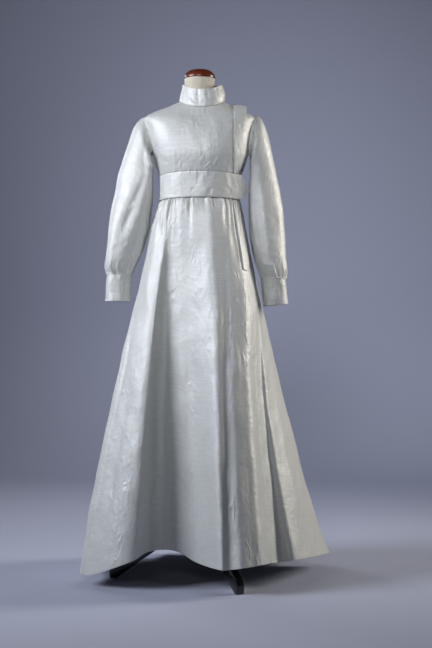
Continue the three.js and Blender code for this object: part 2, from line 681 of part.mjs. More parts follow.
// part runs 0 to 1 across the strip, climb 0 to 1 from the band down to the point.
function stripOnSkirt(part, climb) {
  const shoulderDrop = dropAtZ(stripEndZ);
  const tipDrop = dropAtZ(stripPointZ);
  const corner = 1 - Math.abs(2 * part - 1);
  const end = shoulderDrop + (tipDrop - shoulderDrop) * Math.min(1, stripPointBlunt * corner);
  const drop = stripTopDrop + climb * (end - stripTopDrop);
  const x = stripTopX + (stripEndX - stripTopX) * (drop / shoulderDrop);
  const front = foldAtX(x, drop);
  const step = 0.01;
  const pace = skirtSurface(front + step, drop).distanceTo(skirtSurface(front, drop)) / step;
  return skirtSurface(front + (part * stripWidth) / pace, drop);
}

const skirtStripParts = [0, 0.2, 0.4, 0.6, 0.8, 1];
const skirtStripClimbs = [0, 0.1, 0.25, 0.4, 0.55, 0.7, 0.85, 1];
const skirtStrip = clothGrid(stripOnSkirt, () => skirtStripParts, skirtStripClimbs, 1);
const underSkirtStrip = solidOf(wallOf(skirtPanel(10, 18), seamGap, trimDepth + 1, false));
const skirtStripSolid = solidOf(wallOf(skirtStrip, stripStand, cloth + stripOverlap + 1, false));
addPiece('placket_skirt', geometryOf(largestBody(skirtStripSolid.subtract(underSkirtStrip))), 'silk');

// ---- dress form -----------------------------------------------------------------------

// Inside the bodice the form follows the cloth: close at the shoulders, easier below.
const easyBelow = 4.4;           // bodice levels between which the ease runs out
const closeAbove = 6;

function formGrid() {
  const rings = [];
  for (let level = 0; level <= hipSections.length - 1; level += 1) {
    const row = rowAt(hipSections, level, false);
    rings.push(turnsRound.map((turn) => ({ point: ringPoint(row, turn), normal: new THREE.Vector3() })));
  }
  for (const [row, level] of bodiceLevels.entries()) {
    const close = smoothStep(easyBelow, closeAbove, level);
    const inset = cloth + easeOnForm + (seatGap - easeOnForm) * close;
    rings.push(bodiceGrid[row].map(({ point, normal }) => ({
      point: point.clone().addScaledVector(normal, -inset),
      normal: new THREE.Vector3(),
    })));
  }
  for (let level = 0; level <= neckSections.length - 1; level += 0.5) {
    const row = rowAt(neckSections, level, false);
    rings.push(turnsRound.map((turn) => ({ point: ringPoint(row, turn), normal: new THREE.Vector3() })));
  }
  return rings;
}

const armPlateX = 146;           // the form ends flat here, where arms would begin
const formSolid = solidOf(filledBody(formGrid(), 0))
  .intersect(block([-armPlateX, -clear, 0], [armPlateX, clear, cutTop]));
addPiece('form_body', geometryOf(formSolid), 'linen');

function turned(profile, segments) {
  const geometry = new THREE.LatheGeometry(profile.map(([r, z]) => new THREE.Vector2(r, z)), segments);
  geometry.rotateX(Math.PI / 2);
  return mergeVertices(geometry.deleteAttribute('normal').deleteAttribute('uv'), 1e-4);
}

const capRadius = 47.5;
const capRim = 3;                // height of the straight rim under the dome
const domeSteps = 7;
const domeFullness = 0.8;        // 1 is an ellipse, less is fuller
const capProfile = [[0, capBaseZ], [capRadius - 1.5, capBaseZ], [capRadius, capBaseZ + 2]];
for (let i = 1; i <= domeSteps; i += 1) {
  const turn = (i / domeSteps) * (Math.PI / 2);
  const z = capBaseZ + capRim + (capTopZ - capBaseZ - capRim) * Math.sin(turn);
  capProfile.push([i === domeSteps ? 0 : capRadius * Math.cos(turn) ** domeFullness, z]);
}
addPiece('form_cap', turned(capProfile, 28), 'cherryWood');

// ---- stand ----------------------------------------------------------------------------

const flangeRadius = 28;
const flangeThickness = 8;
addPiece('stand_pole', turned([
  [0, hubTopZ + seamGap], [poleRadius, hubTopZ + seamGap],
  [poleRadius, formBottomZ - flangeThickness], [flangeRadius, formBottomZ - flangeThickness],
  [flangeRadius, formBottomZ - seamGap], [0, formBottomZ - seamGap],
], 24), 'blackLacquer');
addPiece('stand_hub', turned([
  [0, hubBottomZ], [hubRadius - 8, hubBottomZ], [hubRadius, hubBottomZ + 10],
  [hubRadius, hubTopZ - 10], [hubRadius - 6, hubTopZ], [0, hubTopZ],
], 24), 'blackLacquer');

// Each leg is sawn from a board: it sweeps down from the hub to a blunt toe.
const legThickness = 24;
const legRoot = hubRadius + seamGap;
const toeHeight = 44;
const toeFlat = 18;

function legGeometry() {
  const outline = new THREE.Shape();
  outline.moveTo(legRoot, hubTopZ - 16);
  outline.splineThru([
    new THREE.Vector2(110, 172), new THREE.Vector2(190, 104), new THREE.Vector2(footReach - 6, toeHeight),
  ]);
  outline.lineTo(footReach, toeHeight - 24);
  outline.lineTo(footReach - 3, 0);
  outline.lineTo(footReach - 3 - toeFlat, 0);
  outline.splineThru([
    new THREE.Vector2(215, 30), new THREE.Vector2(150, 76), new THREE.Vector2(90, 116),
    new THREE.Vector2(legRoot, hubBottomZ + 20),
  ]);
  outline.closePath();
  const geometry = new THREE.ExtrudeGeometry(outline, {
    depth: legThickness, bevelEnabled: false, curveSegments: 4,
  });
  geometry.translate(0, 0, -legThickness / 2);
  geometry.rotateX(Math.PI / 2);
  return mergeVertices(geometry.deleteAttribute('normal').deleteAttribute('uv'), 1e-4);
}

for (let leg = 0; leg < legCount; leg += 1) {
  const geometry = legGeometry();
  const turn = firstLegTurn + (360 / legCount) * leg;
  geometry.rotateZ((turn - 90) * degrees);
  addPiece(`stand_leg_${leg + 1}`, geometry, 'blackLacquer');
}

// The origin is the middle of the part's footprint, on the floor.
const reach = new THREE.Box3().setFromObject(gown);
const middle = reach.getCenter(new THREE.Vector3());
gown.position.set(-middle.x, -middle.y, -reach.min.z);

export default gown;
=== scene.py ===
"""Evening gown of ivory silk on a linen dress form with a turned cap and a tripod stand."""
import math

import bmesh
import bpy
import numpy as np
from mathutils import Matrix, Vector


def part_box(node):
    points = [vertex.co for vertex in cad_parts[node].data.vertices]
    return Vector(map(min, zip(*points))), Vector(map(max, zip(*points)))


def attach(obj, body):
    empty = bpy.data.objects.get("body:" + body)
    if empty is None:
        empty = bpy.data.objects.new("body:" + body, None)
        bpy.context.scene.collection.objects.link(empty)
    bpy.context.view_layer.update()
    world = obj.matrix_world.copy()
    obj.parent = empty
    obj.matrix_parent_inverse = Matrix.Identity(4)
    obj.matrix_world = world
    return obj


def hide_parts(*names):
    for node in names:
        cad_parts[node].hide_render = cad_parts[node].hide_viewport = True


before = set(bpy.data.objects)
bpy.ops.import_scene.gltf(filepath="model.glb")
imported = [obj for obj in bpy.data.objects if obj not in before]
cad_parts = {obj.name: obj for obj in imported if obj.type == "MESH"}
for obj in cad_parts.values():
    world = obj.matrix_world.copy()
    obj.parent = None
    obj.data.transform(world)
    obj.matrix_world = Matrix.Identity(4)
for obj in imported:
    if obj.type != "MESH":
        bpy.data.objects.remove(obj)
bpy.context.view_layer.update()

# ---- stand: pole and hub ----------------------------------------------------------------
# A turned pole drops into a turned hub that joins three legs. Both are beech, sprayed
# black and rubbed to a gloss, and they stand out of sight under the skirt.

MM = 0.001
low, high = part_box("form_cap")
AXIS = np.array([(low[0] + high[0]) / 2, (low[1] + high[1]) / 2, 0.0])   # the pole's middle


def linear(colour):
    """An sRGB hex colour as linear red, green, blue and alpha."""
    parts = [int(colour[i:i + 2], 16) / 255 for i in (1, 3, 5)]
    return (*[p / 12.92 if p <= 0.04045 else ((p + 0.055) / 1.055) ** 2.4 for p in parts], 1.0)


def add(tree, kind, inputs=None, **settings):
    """Adds a node with its settings, and sets or links its inputs."""
    node = tree.nodes.new(kind)
    for name, value in settings.items():
        setattr(node, name, value)
    for name, value in (inputs or {}).items():
        if isinstance(value, bpy.types.NodeSocket):
            tree.links.new(value, node.inputs[name])
        else:
            node.inputs[name].default_value = value
    return node


def piece_from(bm, name, material, slot, *nodes):
    """Makes the mesh a piece of the object that stands for the named CAD nodes."""
    mesh = bpy.data.meshes.new(name)
    bm.to_mesh(mesh)
    bm.free()
    mesh.shade_smooth()
    mesh.materials.append(material)
    piece = bpy.data.objects.new(name, mesh)
    bpy.context.scene.collection.objects.link(piece)
    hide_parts(*nodes)
    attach(piece, "root")
    return piece


def turned(profile, steps):
    """A lathe-turned shape: the profile of (radius, height) in mm, spun round the axis."""
    bm = bmesh.new()
    verts = [bm.verts.new(Vector((r, 0, z)) * MM + Vector(AXIS)) for r, z in profile]
    edges = [bm.edges.new(pair) for pair in zip(verts, verts[1:])]
    bmesh.ops.spin(bm, geom=verts + edges, cent=Vector(AXIS), axis=(0, 0, 1), angle=2 * math.pi,
                   steps=steps, use_merge=True)
    bmesh.ops.remove_doubles(bm, verts=bm.verts, dist=1e-6)
    bmesh.ops.recalc_face_normals(bm, faces=bm.faces)
    return bm


def soften(bm, width):
    """Rounds every edge that is sharper than 35 degrees."""
    sharp = [e for e in bm.edges if len(e.link_faces) == 2 and e.calc_face_angle() > math.radians(35)]
    bmesh.ops.bevel(bm, geom=sharp, offset=width * MM, affect="EDGES", segments=3, profile=0.5,
                    material=-1)


# Black lacquer: a clear hard coat over black, slightly uneven where it was rubbed by hand.
black_lacquer = bpy.data.materials.new("Black lacquer on beech")
black_lacquer.use_nodes = True
tree = black_lacquer.node_tree
shader = tree.nodes["Principled BSDF"]
place = add(tree, "ShaderNodeTexCoord")
wipe_width = 0.045                   # the rubbing cloth leaves strokes this far apart
wipe = add(tree, "ShaderNodeTexNoise", {"Vector": place.outputs["Object"], "Scale": 1 / wipe_width,
                                        "Detail": 4.0})
rub = add(tree, "ShaderNodeMapRange", {"Value": wipe.outputs["Fac"], "To Min": 0.14, "To Max": 0.34})
tone = add(tree, "ShaderNodeMix", {0: wipe.outputs["Fac"], 6: linear("#08080A"), 7: linear("#17151A")},
           data_type="RGBA")
wave = add(tree, "ShaderNodeBump", {"Height": wipe.outputs["Fac"], "Distance": 0.0006, "Strength": 0.25})
tree.links.new(tone.outputs[2], shader.inputs["Base Color"])
tree.links.new(rub.outputs["Result"], shader.inputs["Roughness"])
tree.links.new(wave.outputs["Normal"], shader.inputs["Normal"])
shader.inputs["Coat Weight"].default_value = 0.5
shader.inputs["Coat Roughness"].default_value = 0.12

pole_radius, flange_radius = 12, 28
hub_bottom, hub_top, form_bottom = 118, 232, 905
pole = turned([(0, hub_top + 0.3), (pole_radius, hub_top + 0.3), (pole_radius, form_bottom - 8),
               (flange_radius, form_bottom - 8), (flange_radius, form_bottom - 0.3),
               (0, form_bottom - 0.3)], 48)
soften(pole, 1.2)
piece_from(pole, "turned_pole", black_lacquer, "black_lacquer", "stand_pole")

# The hub swells a little between two turned beads.
hub = turned([(0, hub_bottom), (19, hub_bottom), (26.5, hub_bottom + 9), (26.5, hub_bottom + 16),
              (25.5, hub_bottom + 19), (26.8, hub_bottom + 24), (26.8, hub_top - 24),
              (25.5, hub_top - 19), (26.5, hub_top - 16), (26.5, hub_top - 10), (21, hub_top),
              (0, hub_top)], 64)
soften(hub, 1.0)
piece_from(hub, "turned_hub", black_lacquer, "black_lacquer", "stand_hub")

# ---- stand: legs ------------------------------------------------------------------------
# Three legs are sawn from 24 mm board in a long sweep, their edges rounded over, and set
# 120 degrees apart. One toe shows under the front hem.

leg_top = [(27.3, 216), (68, 197), (110, 172), (152, 139), (190, 104), (228, 72), (258, 52),
           (272, 44), (278, 20), (275, 0)]
leg_bottom = [(257, 0), (237, 14), (215, 30), (184, 53), (150, 76), (120, 97), (90, 116),
              (58, 130), (27.3, 138)]
leg_thickness = 24
first_leg = 26 - 90                  # degrees round from the wearer's left
for number in (1, 2, 3):
    leg = bmesh.new()
    outline = [leg.verts.new((x * MM, -leg_thickness / 2 * MM, z * MM)) for x, z in leg_top + leg_bottom]
    side = leg.faces.new(outline)
    grown = bmesh.ops.extrude_face_region(leg, geom=[side])["geom"]
    moved = [item for item in grown if isinstance(item, bmesh.types.BMVert)]
    bmesh.ops.translate(leg, verts=moved, vec=(0, leg_thickness * MM, 0))
    bmesh.ops.recalc_face_normals(leg, faces=leg.faces)
    soften(leg, 3.0)
    turn = math.radians(first_leg + 120 * (number - 1))
    bmesh.ops.transform(leg, verts=leg.verts, matrix=Matrix.Translation(AXIS) @ Matrix.Rotation(turn, 4, "Z"))
    piece_from(leg, f"sawn_leg_{number}", black_lacquer, "black_lacquer", f"stand_leg_{number}")

# ---- dress form -------------------------------------------------------------------------
# A papier-mache torso covered in stretched linen, flat where the arms would begin and at
# its foot. Only the neck shows, above the collar.

# Rings round the body: heights at the side, front and back, half width, shift to the
# wearer's left, depths before and behind the axis, and the squareness of the ring, in mm.
hip_rings = [
    (905, 905, 905, 141, 0, 84, 96, 2.2),
    (950, 950, 950, 144, 0, 88, 100, 2.2),
    (1010, 1010, 1010, 134, 0, 86, 92, 2.2),
    (1080, 1080, 1080, 113, 0, 83, 78, 2.2),
    (1150, 1154, 1151, 114, 0, 94, 77, 2.2),
]
bodice_rings = [
    (1228, 1237, 1230, 124, 0, 108, 86, 2.2),
    (1255, 1260, 1256, 134, 2, 116, 90, 2.25),
    (1290, 1292, 1290, 144, 3, 123, 95, 2.35),
    (1332, 1330, 1332, 153, 1, 119, 100, 2.5),
    (1375, 1368, 1376, 161, 0, 107, 101, 2.6),
    (1408, 1395, 1410, 166, 0, 94, 95, 2.6),
    (1425, 1410, 1431, 143, 1, 83, 85, 2.4),
    (1442, 1424, 1449, 105, 4, 73, 73, 2.2),
    (1459, 1436, 1466, 69, 7, 64, 62, 2.1),
]
neck_rings = [
    (1474, 1458, 1478, 49, 2, 50, 50, 2),
    (1500, 1496, 1502, 46.5, 0, 47, 47, 2),
    (1529.7, 1529.7, 1529.7, 46, 0, 46, 46, 2),
]


def between(table, place, looped=False):
    """The columns of a table at places between its rows, on smooth curves."""
    rows = np.asarray(table, float)
    place = np.asarray(place, float)
    index = np.floor(place).astype(int)
    if not looped:
        index = np.clip(index, 0, len(rows) - 2)
    part = (place - index)[..., None]
    before, start, end, after = (
        rows[(index + step) % len(rows)] if looped else rows[np.clip(index + step, 0, len(rows) - 1)]
        for step in (-1, 0, 1, 2))
    pull, push, rise = (end - before) / 2, (after - start) / 2, end - start
    curve = start + part * (pull + part * (3 * rise - 2 * pull - push + part * (pull + push - 2 * rise)))
    return np.moveaxis(curve, -1, 0)


def ring(rows, turn):
    """Points of body rings; turn runs in radians from centre front towards the wearer's left."""
    side, front, back, half, shift, fore, aft, square = rows
    across, ahead = np.sin(turn), np.cos(turn)
    depth = np.where(ahead > 0, fore, aft)
    end = np.where(ahead > 0, front, back)
    x = shift + half * np.sign(across) * np.abs(across) ** (2 / square)
    y = -depth * np.sign(ahead) * np.abs(ahead) ** (2 / square)
    z = side + (end - side) * np.abs(ahead) ** 1.5
    return np.stack(np.broadcast_arrays(x, y, z), axis=-1)


def normals_of(points, looped):
    """Unit normals of a grid of points whose rows run round and whose columns run up."""
    across = np.gradient(points, axis=1)
    if looped:
        across[:, 0] = across[:, -1] = points[:, 1] - points[:, -2]
    up = np.gradient(points, axis=0)
    normal = np.cross(across, up)
    return normal / (np.linalg.norm(normal, axis=-1, keepdims=True) + 1e-9)


def woven_grid(points, looped):
    """A bmesh grid on the points, in metres, with a UV map that measures the cloth in metres."""
    rows, columns = points.shape[:2]
    across = np.linalg.norm(np.diff(points, axis=1), axis=-1)
    across = np.concatenate([np.zeros((rows, 1)), np.cumsum(across, axis=1)], axis=1)
    across = (across - across[:, [columns // 2]]) * MM
    up = np.linalg.norm(np.diff(points, axis=0), axis=-1)
    up = np.concatenate([np.zeros((1, columns)), np.cumsum(up, axis=0)], axis=0) * MM
    bm = bmesh.new()
    bmesh.ops.create_grid(bm, x_segments=columns - 1, y_segments=rows - 1, size=0.5)
    for vert, point in zip(bm.verts, points.reshape(-1, 3) * MM + AXIS):
        vert.co = point
    cloth_map = bm.loops.layers.uv.new("cloth")
    flat = np.stack([across, up], axis=-1).reshape(-1, 2)
    bm.verts.index_update()
    for face in bm.faces:
        for loop in face.loops:
            loop[cloth_map].uv = flat[loop.vert.index]
    if looped:
        bmesh.ops.remove_doubles(bm, verts=bm.verts, dist=1e-6)
    return bm


# Linen: a matt, slightly warm cloth of about 12 threads to the centimetre, with thick and
# thin threads in both directions.
linen = bpy.data.materials.new("Unbleached linen")
linen.use_nodes = True
tree = linen.node_tree
shader = tree.nodes["Principled BSDF"]
place = add(tree, "ShaderNodeTexCoord")
thread = 0.0016                      # drawn at twice its real spacing, so that it shows
warp = add(tree, "ShaderNodeTexWave", {"Vector": place.outputs["UV"], "Scale": 1 / (20 * thread) * math.tau,
                                       "Distortion": 1.2, "Detail": 2.0}, bands_direction="X")
weft = add(tree, "ShaderNodeTexWave", {"Vector": place.outputs["UV"], "Scale": 1 / (20 * thread) * math.tau,
                                       "Distortion": 1.2, "Detail": 2.0}, bands_direction="Y")
weave = add(tree, "ShaderNodeMath", {0: warp.outputs["Fac"], 1: weft.outputs["Fac"]}, operation="ADD")
slub_spacing = 0.03                  # thicker stretches of thread lie this far apart
slub = add(tree, "ShaderNodeTexNoise", {"Vector": place.outputs["Object"], "Scale": 1 / slub_spacing,
                                        "Detail": 5.0})
shade = add(tree, "ShaderNodeMix", {0: slub.outputs["Fac"], 6: linear("#DDD5C4"), 7: linear("#C6BCA8")},
            data_type="RGBA")
grain = add(tree, "ShaderNodeMix", {0: 0.12, 6: shade.outputs[2], 7: weave.outputs["Value"]},
            data_type="RGBA", blend_type="MULTIPLY")
relief = add(tree, "ShaderNodeBump", {"Height": weave.outputs["Value"], "Distance": 0.0004, "Strength": 0.6})
tree.links.new(grain.outputs[2], shader.inputs["Base Color"])
tree.links.new(relief.outputs["Normal"], shader.inputs["Normal"])
shader.inputs["Roughness"].default_value = 0.9
shader.inputs["Sheen Weight"].default_value = 0.15

form_turns = np.linspace(-math.pi, math.pi, 97)
arm_plate = 146                      # the form is flat where the arms would begin
form_rows = [ring(between(hip_rings, level), form_turns) for level in np.linspace(0, 4, 17)]
bodice_levels = np.concatenate([np.linspace(0, 7.6, 39), [8]])
bodice_body = ring(between(bodice_rings, bodice_levels[:, None]), form_turns[None, :])
bodice_out = normals_of(bodice_body, True)
close = np.clip((bodice_levels - 4.4) / 1.6, 0, 1)
close = close * close * (3 - 2 * close)
inset = 6.6 - 4.6 * close            # easy below the shoulders, close to the cloth on them
form_rows += list(bodice_body - bodice_out * inset[:, None, None])
form_rows += [ring(between(neck_rings, level), form_turns) for level in np.linspace(0, 2, 13)]
form_points = np.stack(form_rows)
form_points[..., 0] = np.clip(form_points[..., 0], -arm_plate, arm_plate)
form = woven_grid(form_points, True)
bmesh.ops.holes_fill(form, edges=[e for e in form.edges if e.is_boundary], sides=0)
bmesh.ops.recalc_face_normals(form, faces=form.faces)
piece_from(form, "linen_form", linen, "linen", "form_body")

# ---- neck cap ---------------------------------------------------------------------------
# The cap closes the neck: one block of cherry wood, turned to a low dome and polished
# a dark red brown, with the grain running across it.

cherry = bpy.data.materials.new("Polished cherry wood")
cherry.use_nodes = True
tree = cherry.node_tree
shader = tree.nodes["Principled BSDF"]
place = add(tree, "ShaderNodeTexCoord")
ring_width = 0.0032                  # growth rings a few millimetres apart
lie = add(tree, "ShaderNodeMapping", {"Vector": place.outputs["Object"], "Rotation": (0.1, 0.05, 0.5),
                                      "Scale": (1.0, 0.16, 1.0)})
rings = add(tree, "ShaderNodeTexWave", {"Vector": lie.outputs["Vector"],
                                        "Scale": 1 / (20 * ring_width) * math.tau,
                                        "Distortion": 5.0, "Detail": 4.0, "Detail Scale": 1.5})
fibre_width = 0.0016                 # bundles of fibres, drawn wider than they are
fibre = add(tree, "ShaderNodeTexNoise", {"Vector": lie.outputs["Vector"], "Scale": 1 / fibre_width,
                                         "Detail": 3.0})
wood = add(tree, "ShaderNodeMix", {0: rings.outputs["Fac"], 6: linear("#7C3516"), 7: linear("#3C170B")},
           data_type="RGBA")
streak = add(tree, "ShaderNodeMix", {0: 0.35, 6: wood.outputs[2], 7: fibre.outputs["Color"]},
             data_type="RGBA", blend_type="OVERLAY")
pores = add(tree, "ShaderNodeBump", {"Height": fibre.outputs["Fac"], "Distance": 0.0002, "Strength": 0.3})
tree.links.new(streak.outputs[2], shader.inputs["Base Color"])
tree.links.new(pores.outputs["Normal"], shader.inputs["Normal"])
shader.inputs["Roughness"].default_value = 0.32
shader.inputs["Coat Weight"].default_value = 0.4
shader.inputs["Coat Roughness"].default_value = 0.2

cap_radius, cap_base, cap_top = 47.5, 1530, 1559
cap_profile = [(0, cap_base), (cap_radius - 1.5, cap_base), (cap_radius, cap_base + 1.5),
               (cap_radius, cap_base + 3)]
for step in range(1, 15):
    lean = step / 14 * math.pi / 2
    cap_profile.append((max(0.0, cap_radius * math.cos(lean) ** 0.8),
                        cap_base + 3 + (cap_top - cap_base - 3) * math.sin(lean)))
cap = turned(cap_profile, 72)
piece_from(cap, "turned_cap", cherry, "cherry_wood", "form_cap")

# ---- bodice -----------------------------------------------------------------------------
# Front, side front and back are cut from heavy ivory silk with a slubbed weft, seamed at
# the shoulders, sides and the closing line, and open round each armhole.

# Silk: the filament warp gives the soft sheen, the thick and thin weft gives fine bars
# that run round the body, and handling has left the cloth faintly crumpled.
silk = bpy.data.materials.new("Ivory silk shantung")
silk.use_nodes = True
tree = silk.node_tree
shader = tree.nodes["Principled BSDF"]
place = add(tree, "ShaderNodeTexCoord")
slub_length, slub_width = 0.070, 0.0042     # drawn twice as thick as the real slubs
bar_length, bar_width = 0.22, 0.008
fine = add(tree, "ShaderNodeMapping", {"Vector": place.outputs["UV"],
                                       "Scale": (1 / slub_length, 1 / slub_width, 1.0)})
slubs = add(tree, "ShaderNodeTexNoise", {"Vector": fine.outputs["Vector"], "Scale": 1.0, "Detail": 3.0,
                                         "Roughness": 0.65})
wide = add(tree, "ShaderNodeMapping", {"Vector": place.outputs["UV"],
                                       "Scale": (1 / bar_length, 1 / bar_width, 1.0)})
bars = add(tree, "ShaderNodeTexNoise", {"Vector": wide.outputs["Vector"], "Scale": 1.0, "Detail": 2.0})
crinkle_length, crinkle_width = 0.042, 0.017     # sharp little folds left by handling
crumple_size, handled_patch = 0.05, 0.16
lie = add(tree, "ShaderNodeMapping", {"Vector": place.outputs["Object"], "Rotation": (0.0, 0.5, 0.2),
                                      "Scale": (1 / crinkle_width, 1 / crinkle_width, 1 / crinkle_length)})
crumple = add(tree, "ShaderNodeTexNoise", {"Vector": place.outputs["Object"], "Scale": 1 / crumple_size,
                                           "Detail": 4.0, "Roughness": 0.55})
thread_tone = add(tree, "ShaderNodeMapRange", {"Value": slubs.outputs["Fac"], "From Min": 0.35,
                                               "From Max": 0.65})
tint = add(tree, "ShaderNodeMix", {0: thread_tone.outputs["Result"], 6: linear("#D5D8D7"),
                                   7: linear("#C4C7C5")}, data_type="RGBA")
warmth = add(tree, "ShaderNodeMix", {0: crumple.outputs["Fac"], 6: tint.outputs[2], 7: linear("#CCCCC5")},
             data_type="RGBA")
gloss = add(tree, "ShaderNodeMapRange", {"Value": slubs.outputs["Fac"], "From Min": 0.3, "From Max": 0.7,
                                         "To Min": 0.44, "To Max": 0.6})
thread_relief = add(tree, "ShaderNodeBump", {"Height": slubs.outputs["Fac"], "Distance": 0.0007,
                                             "Strength": 0.5})
bar_relief = add(tree, "ShaderNodeBump", {"Height": bars.outputs["Fac"], "Distance": 0.0008, "Strength": 0.35,
                                          "Normal": thread_relief.outputs["Normal"]})
crinkle = add(tree, "ShaderNodeTexNoise", {"Vector": lie.outputs["Vector"], "Scale": 1.0, "Detail": 3.0,
                                           "Roughness": 0.6, "Distortion": 0.8},
              noise_type="RIDGED_MULTIFRACTAL")
patches = add(tree, "ShaderNodeTexNoise", {"Vector": place.outputs["Object"],
                                           "Scale": 1 / handled_patch, "Detail": 2.0})
patch = add(tree, "ShaderNodeMapRange", {"Value": patches.outputs["Fac"], "From Min": 0.42, "From Max": 0.62,
                                         "To Min": 0.1, "To Max": 1.0})
worn = add(tree, "ShaderNodeMath", {0: crinkle.outputs["Fac"], 1: patch.outputs["Result"]},
           operation="MULTIPLY")
crumple_relief = add(tree, "ShaderNodeBump", {"Height": crumple.outputs["Fac"], "Distance": 0.006,
                                              "Strength": 0.6, "Normal": bar_relief.outputs["Normal"]})
relief = add(tree, "ShaderNodeBump", {"Height": worn.outputs["Value"], "Distance": 0.0036, "Strength": 0.85,
                                      "Normal": crumple_relief.outputs["Normal"]})
tree.links.new(warmth.outputs[2], shader.inputs["Base Color"])
tree.links.new(gloss.outputs["Result"], shader.inputs["Roughness"])
tree.links.new(relief.outputs["Normal"], shader.inputs["Normal"])
yarn_gloss = 0.15                    # the filaments' own gloss, past that of matt cloth
shader.inputs["Metallic"].default_value = yarn_gloss
shader.inputs["Sheen Weight"].default_value = 0.1


def smooth_step(start, end, value):
    """A share that rises softly from 0 at the start to 1 at the end."""
    part = np.clip((value - start) / (end - start), 0, 1)
    return part * part * (3 - 2 * part)


def crease(across, up, rows):
    """Height in mm of soft creases over the cloth. Each row runs from one point to another,
    with its half width, height (a trough below zero) and bow to one side."""
    height = np.zeros_like(across)
    for x0, z0, x1, z1, width, rise, bow in rows:
        run = math.hypot(x1 - x0, z1 - z0)
        along = ((across - x0) * (x1 - x0) + (up - z0) * (z1 - z0)) / run ** 2
        off = ((across - x0) * (z1 - z0) - (up - z0) * (x1 - x0)) / run
        off = off - 4 * bow * along * (1 - along)
        fade = np.sin(math.pi * np.clip(along, 0, 1)) ** 0.7
        uneven = 1 + 0.3 * np.sin(7.3 * along + x0) + 0.2 * np.sin(17.0 * along + z0)
        lip = np.exp(-(off / width) ** 2) - 0.35 * np.exp(-(off / (2.2 * width)) ** 2)
        height += rise * fade * uneven * lip
    return height


def rumple(points, seed, height, longest, shortest, flatten=1.0):
    """Soft unevenness in mm that runs on from piece to piece; flatten under 1 stretches
    it down the cloth."""
    draw = np.random.default_rng(seed)
    total = np.zeros(points.shape[:-1])
    for _ in range(14):
        size = shortest * (longest / shortest) ** draw.random()
        way = draw.normal(size=3)
        way[2] *= flatten
        way /= np.linalg.norm(way)
        total += math.sqrt(size / longest) * np.sin(points @ way * math.tau / size + draw.uniform(0, 6.28))
    return height * total / math.sqrt(14)


def cloth_piece(name, points, height, node, looped=False, flip=False, thickness=1.5, tuck=(1, 1, 1, 1)):
    """A cloth shell on a grid of points in mm, raised by height, with its seams tucked in
    at its left, right, lower and upper edge where tuck says so."""
    out = normals_of(points, looped) * (-1 if flip else 1)
    rows, columns = points.shape[:2]
    across = np.linalg.norm(np.diff(points, axis=1), axis=-1)
    across = np.concatenate([np.zeros((rows, 1)), np.cumsum(across, axis=1)], axis=1)
    up = np.linalg.norm(np.diff(points, axis=0), axis=-1)
    up = np.concatenate([np.zeros((1, columns)), np.cumsum(up, axis=0)], axis=0)
    reach = 1.8
    dip = np.zeros((rows, columns))
    if not looped:
        dip -= tuck[0] * np.exp(-(across / reach) ** 2)
        dip -= tuck[1] * np.exp(-((across[:, -1:] - across) / reach) ** 2)
    dip -= tuck[2] * np.exp(-(up / reach) ** 2)
    dip -= tuck[3] * np.exp(-((up[-1:] - up) / reach) ** 2)
    shell = woven_grid(points + out * (height + dip)[..., None], looped)
    if flip:
        bmesh.ops.reverse_faces(shell, faces=shell.faces)
    piece = piece_from(shell, name, silk, "silk", node)
    wall = piece.modifiers.new("cloth", "SOLIDIFY")
    wall.thickness = thickness * MM
    wall.offset = -1
    wall.use_even_offset = False
    return piece


seam_turn = math.radians(91.2)       # side and shoulder seams
closing_line = 104                   # x of the closing, on the wearer's left
hole_middle, hole_reach = 3.66, 1.39     # armhole, in rows of the bodice rings
hole_front, hole_back = math.radians(13), math.radians(24)      # how far it is cut in


def armhole_turn(level, inset):
    """Turn of the armhole's edge from centre front or back, at a level of the rings."""
    part = np.clip(1 - ((level - hole_middle) / hole_reach) ** 2, 0, 1)
    return math.pi / 2 - inset * part ** 0.4


def edge_turn(level, inset, seam):
    """Turn of a bodice panel's side: the armhole's edge, and the seam above and below it."""
    return np.where(np.abs(level - hole_middle) < hole_reach, armhole_turn(level, inset), seam)


def turn_at(level, x):
    """Turn at which a ring of the bodice has the given x, or the shoulder seam above it."""
    side, front, back, half, shift, fore, aft, square = between(bodice_rings, level)
    return np.arcsin(np.clip((x - shift) / half, 0, 1) ** (square / 2))


hole_levels = hole_middle - hole_reach * np.cos(np.linspace(0, math.pi, 37))
below_hole = np.concatenate([[0, 0.03, 0.1], np.linspace(0.2, hole_middle - hole_reach - 0.05, 16)])
above_hole = np.concatenate([np.linspace(hole_middle + hole_reach + 0.05, 7.7, 22), [7.85, 7.95, 8]])
body_levels = np.concatenate([below_hole, hole_levels, above_hole])
across_steps = np.concatenate([[0, 0.005, 0.014], np.linspace(0.03, 0.97, 78), [0.986, 0.995, 1]])


def bodice_points(start, end, levels):
    """Grid of a bodice panel between its two sides, at levels of the rings."""
    turns = start[:, None] + (end - start)[:, None] * across_steps[None, :]
    return ring(between(bodice_rings, levels[:, None]), turns)


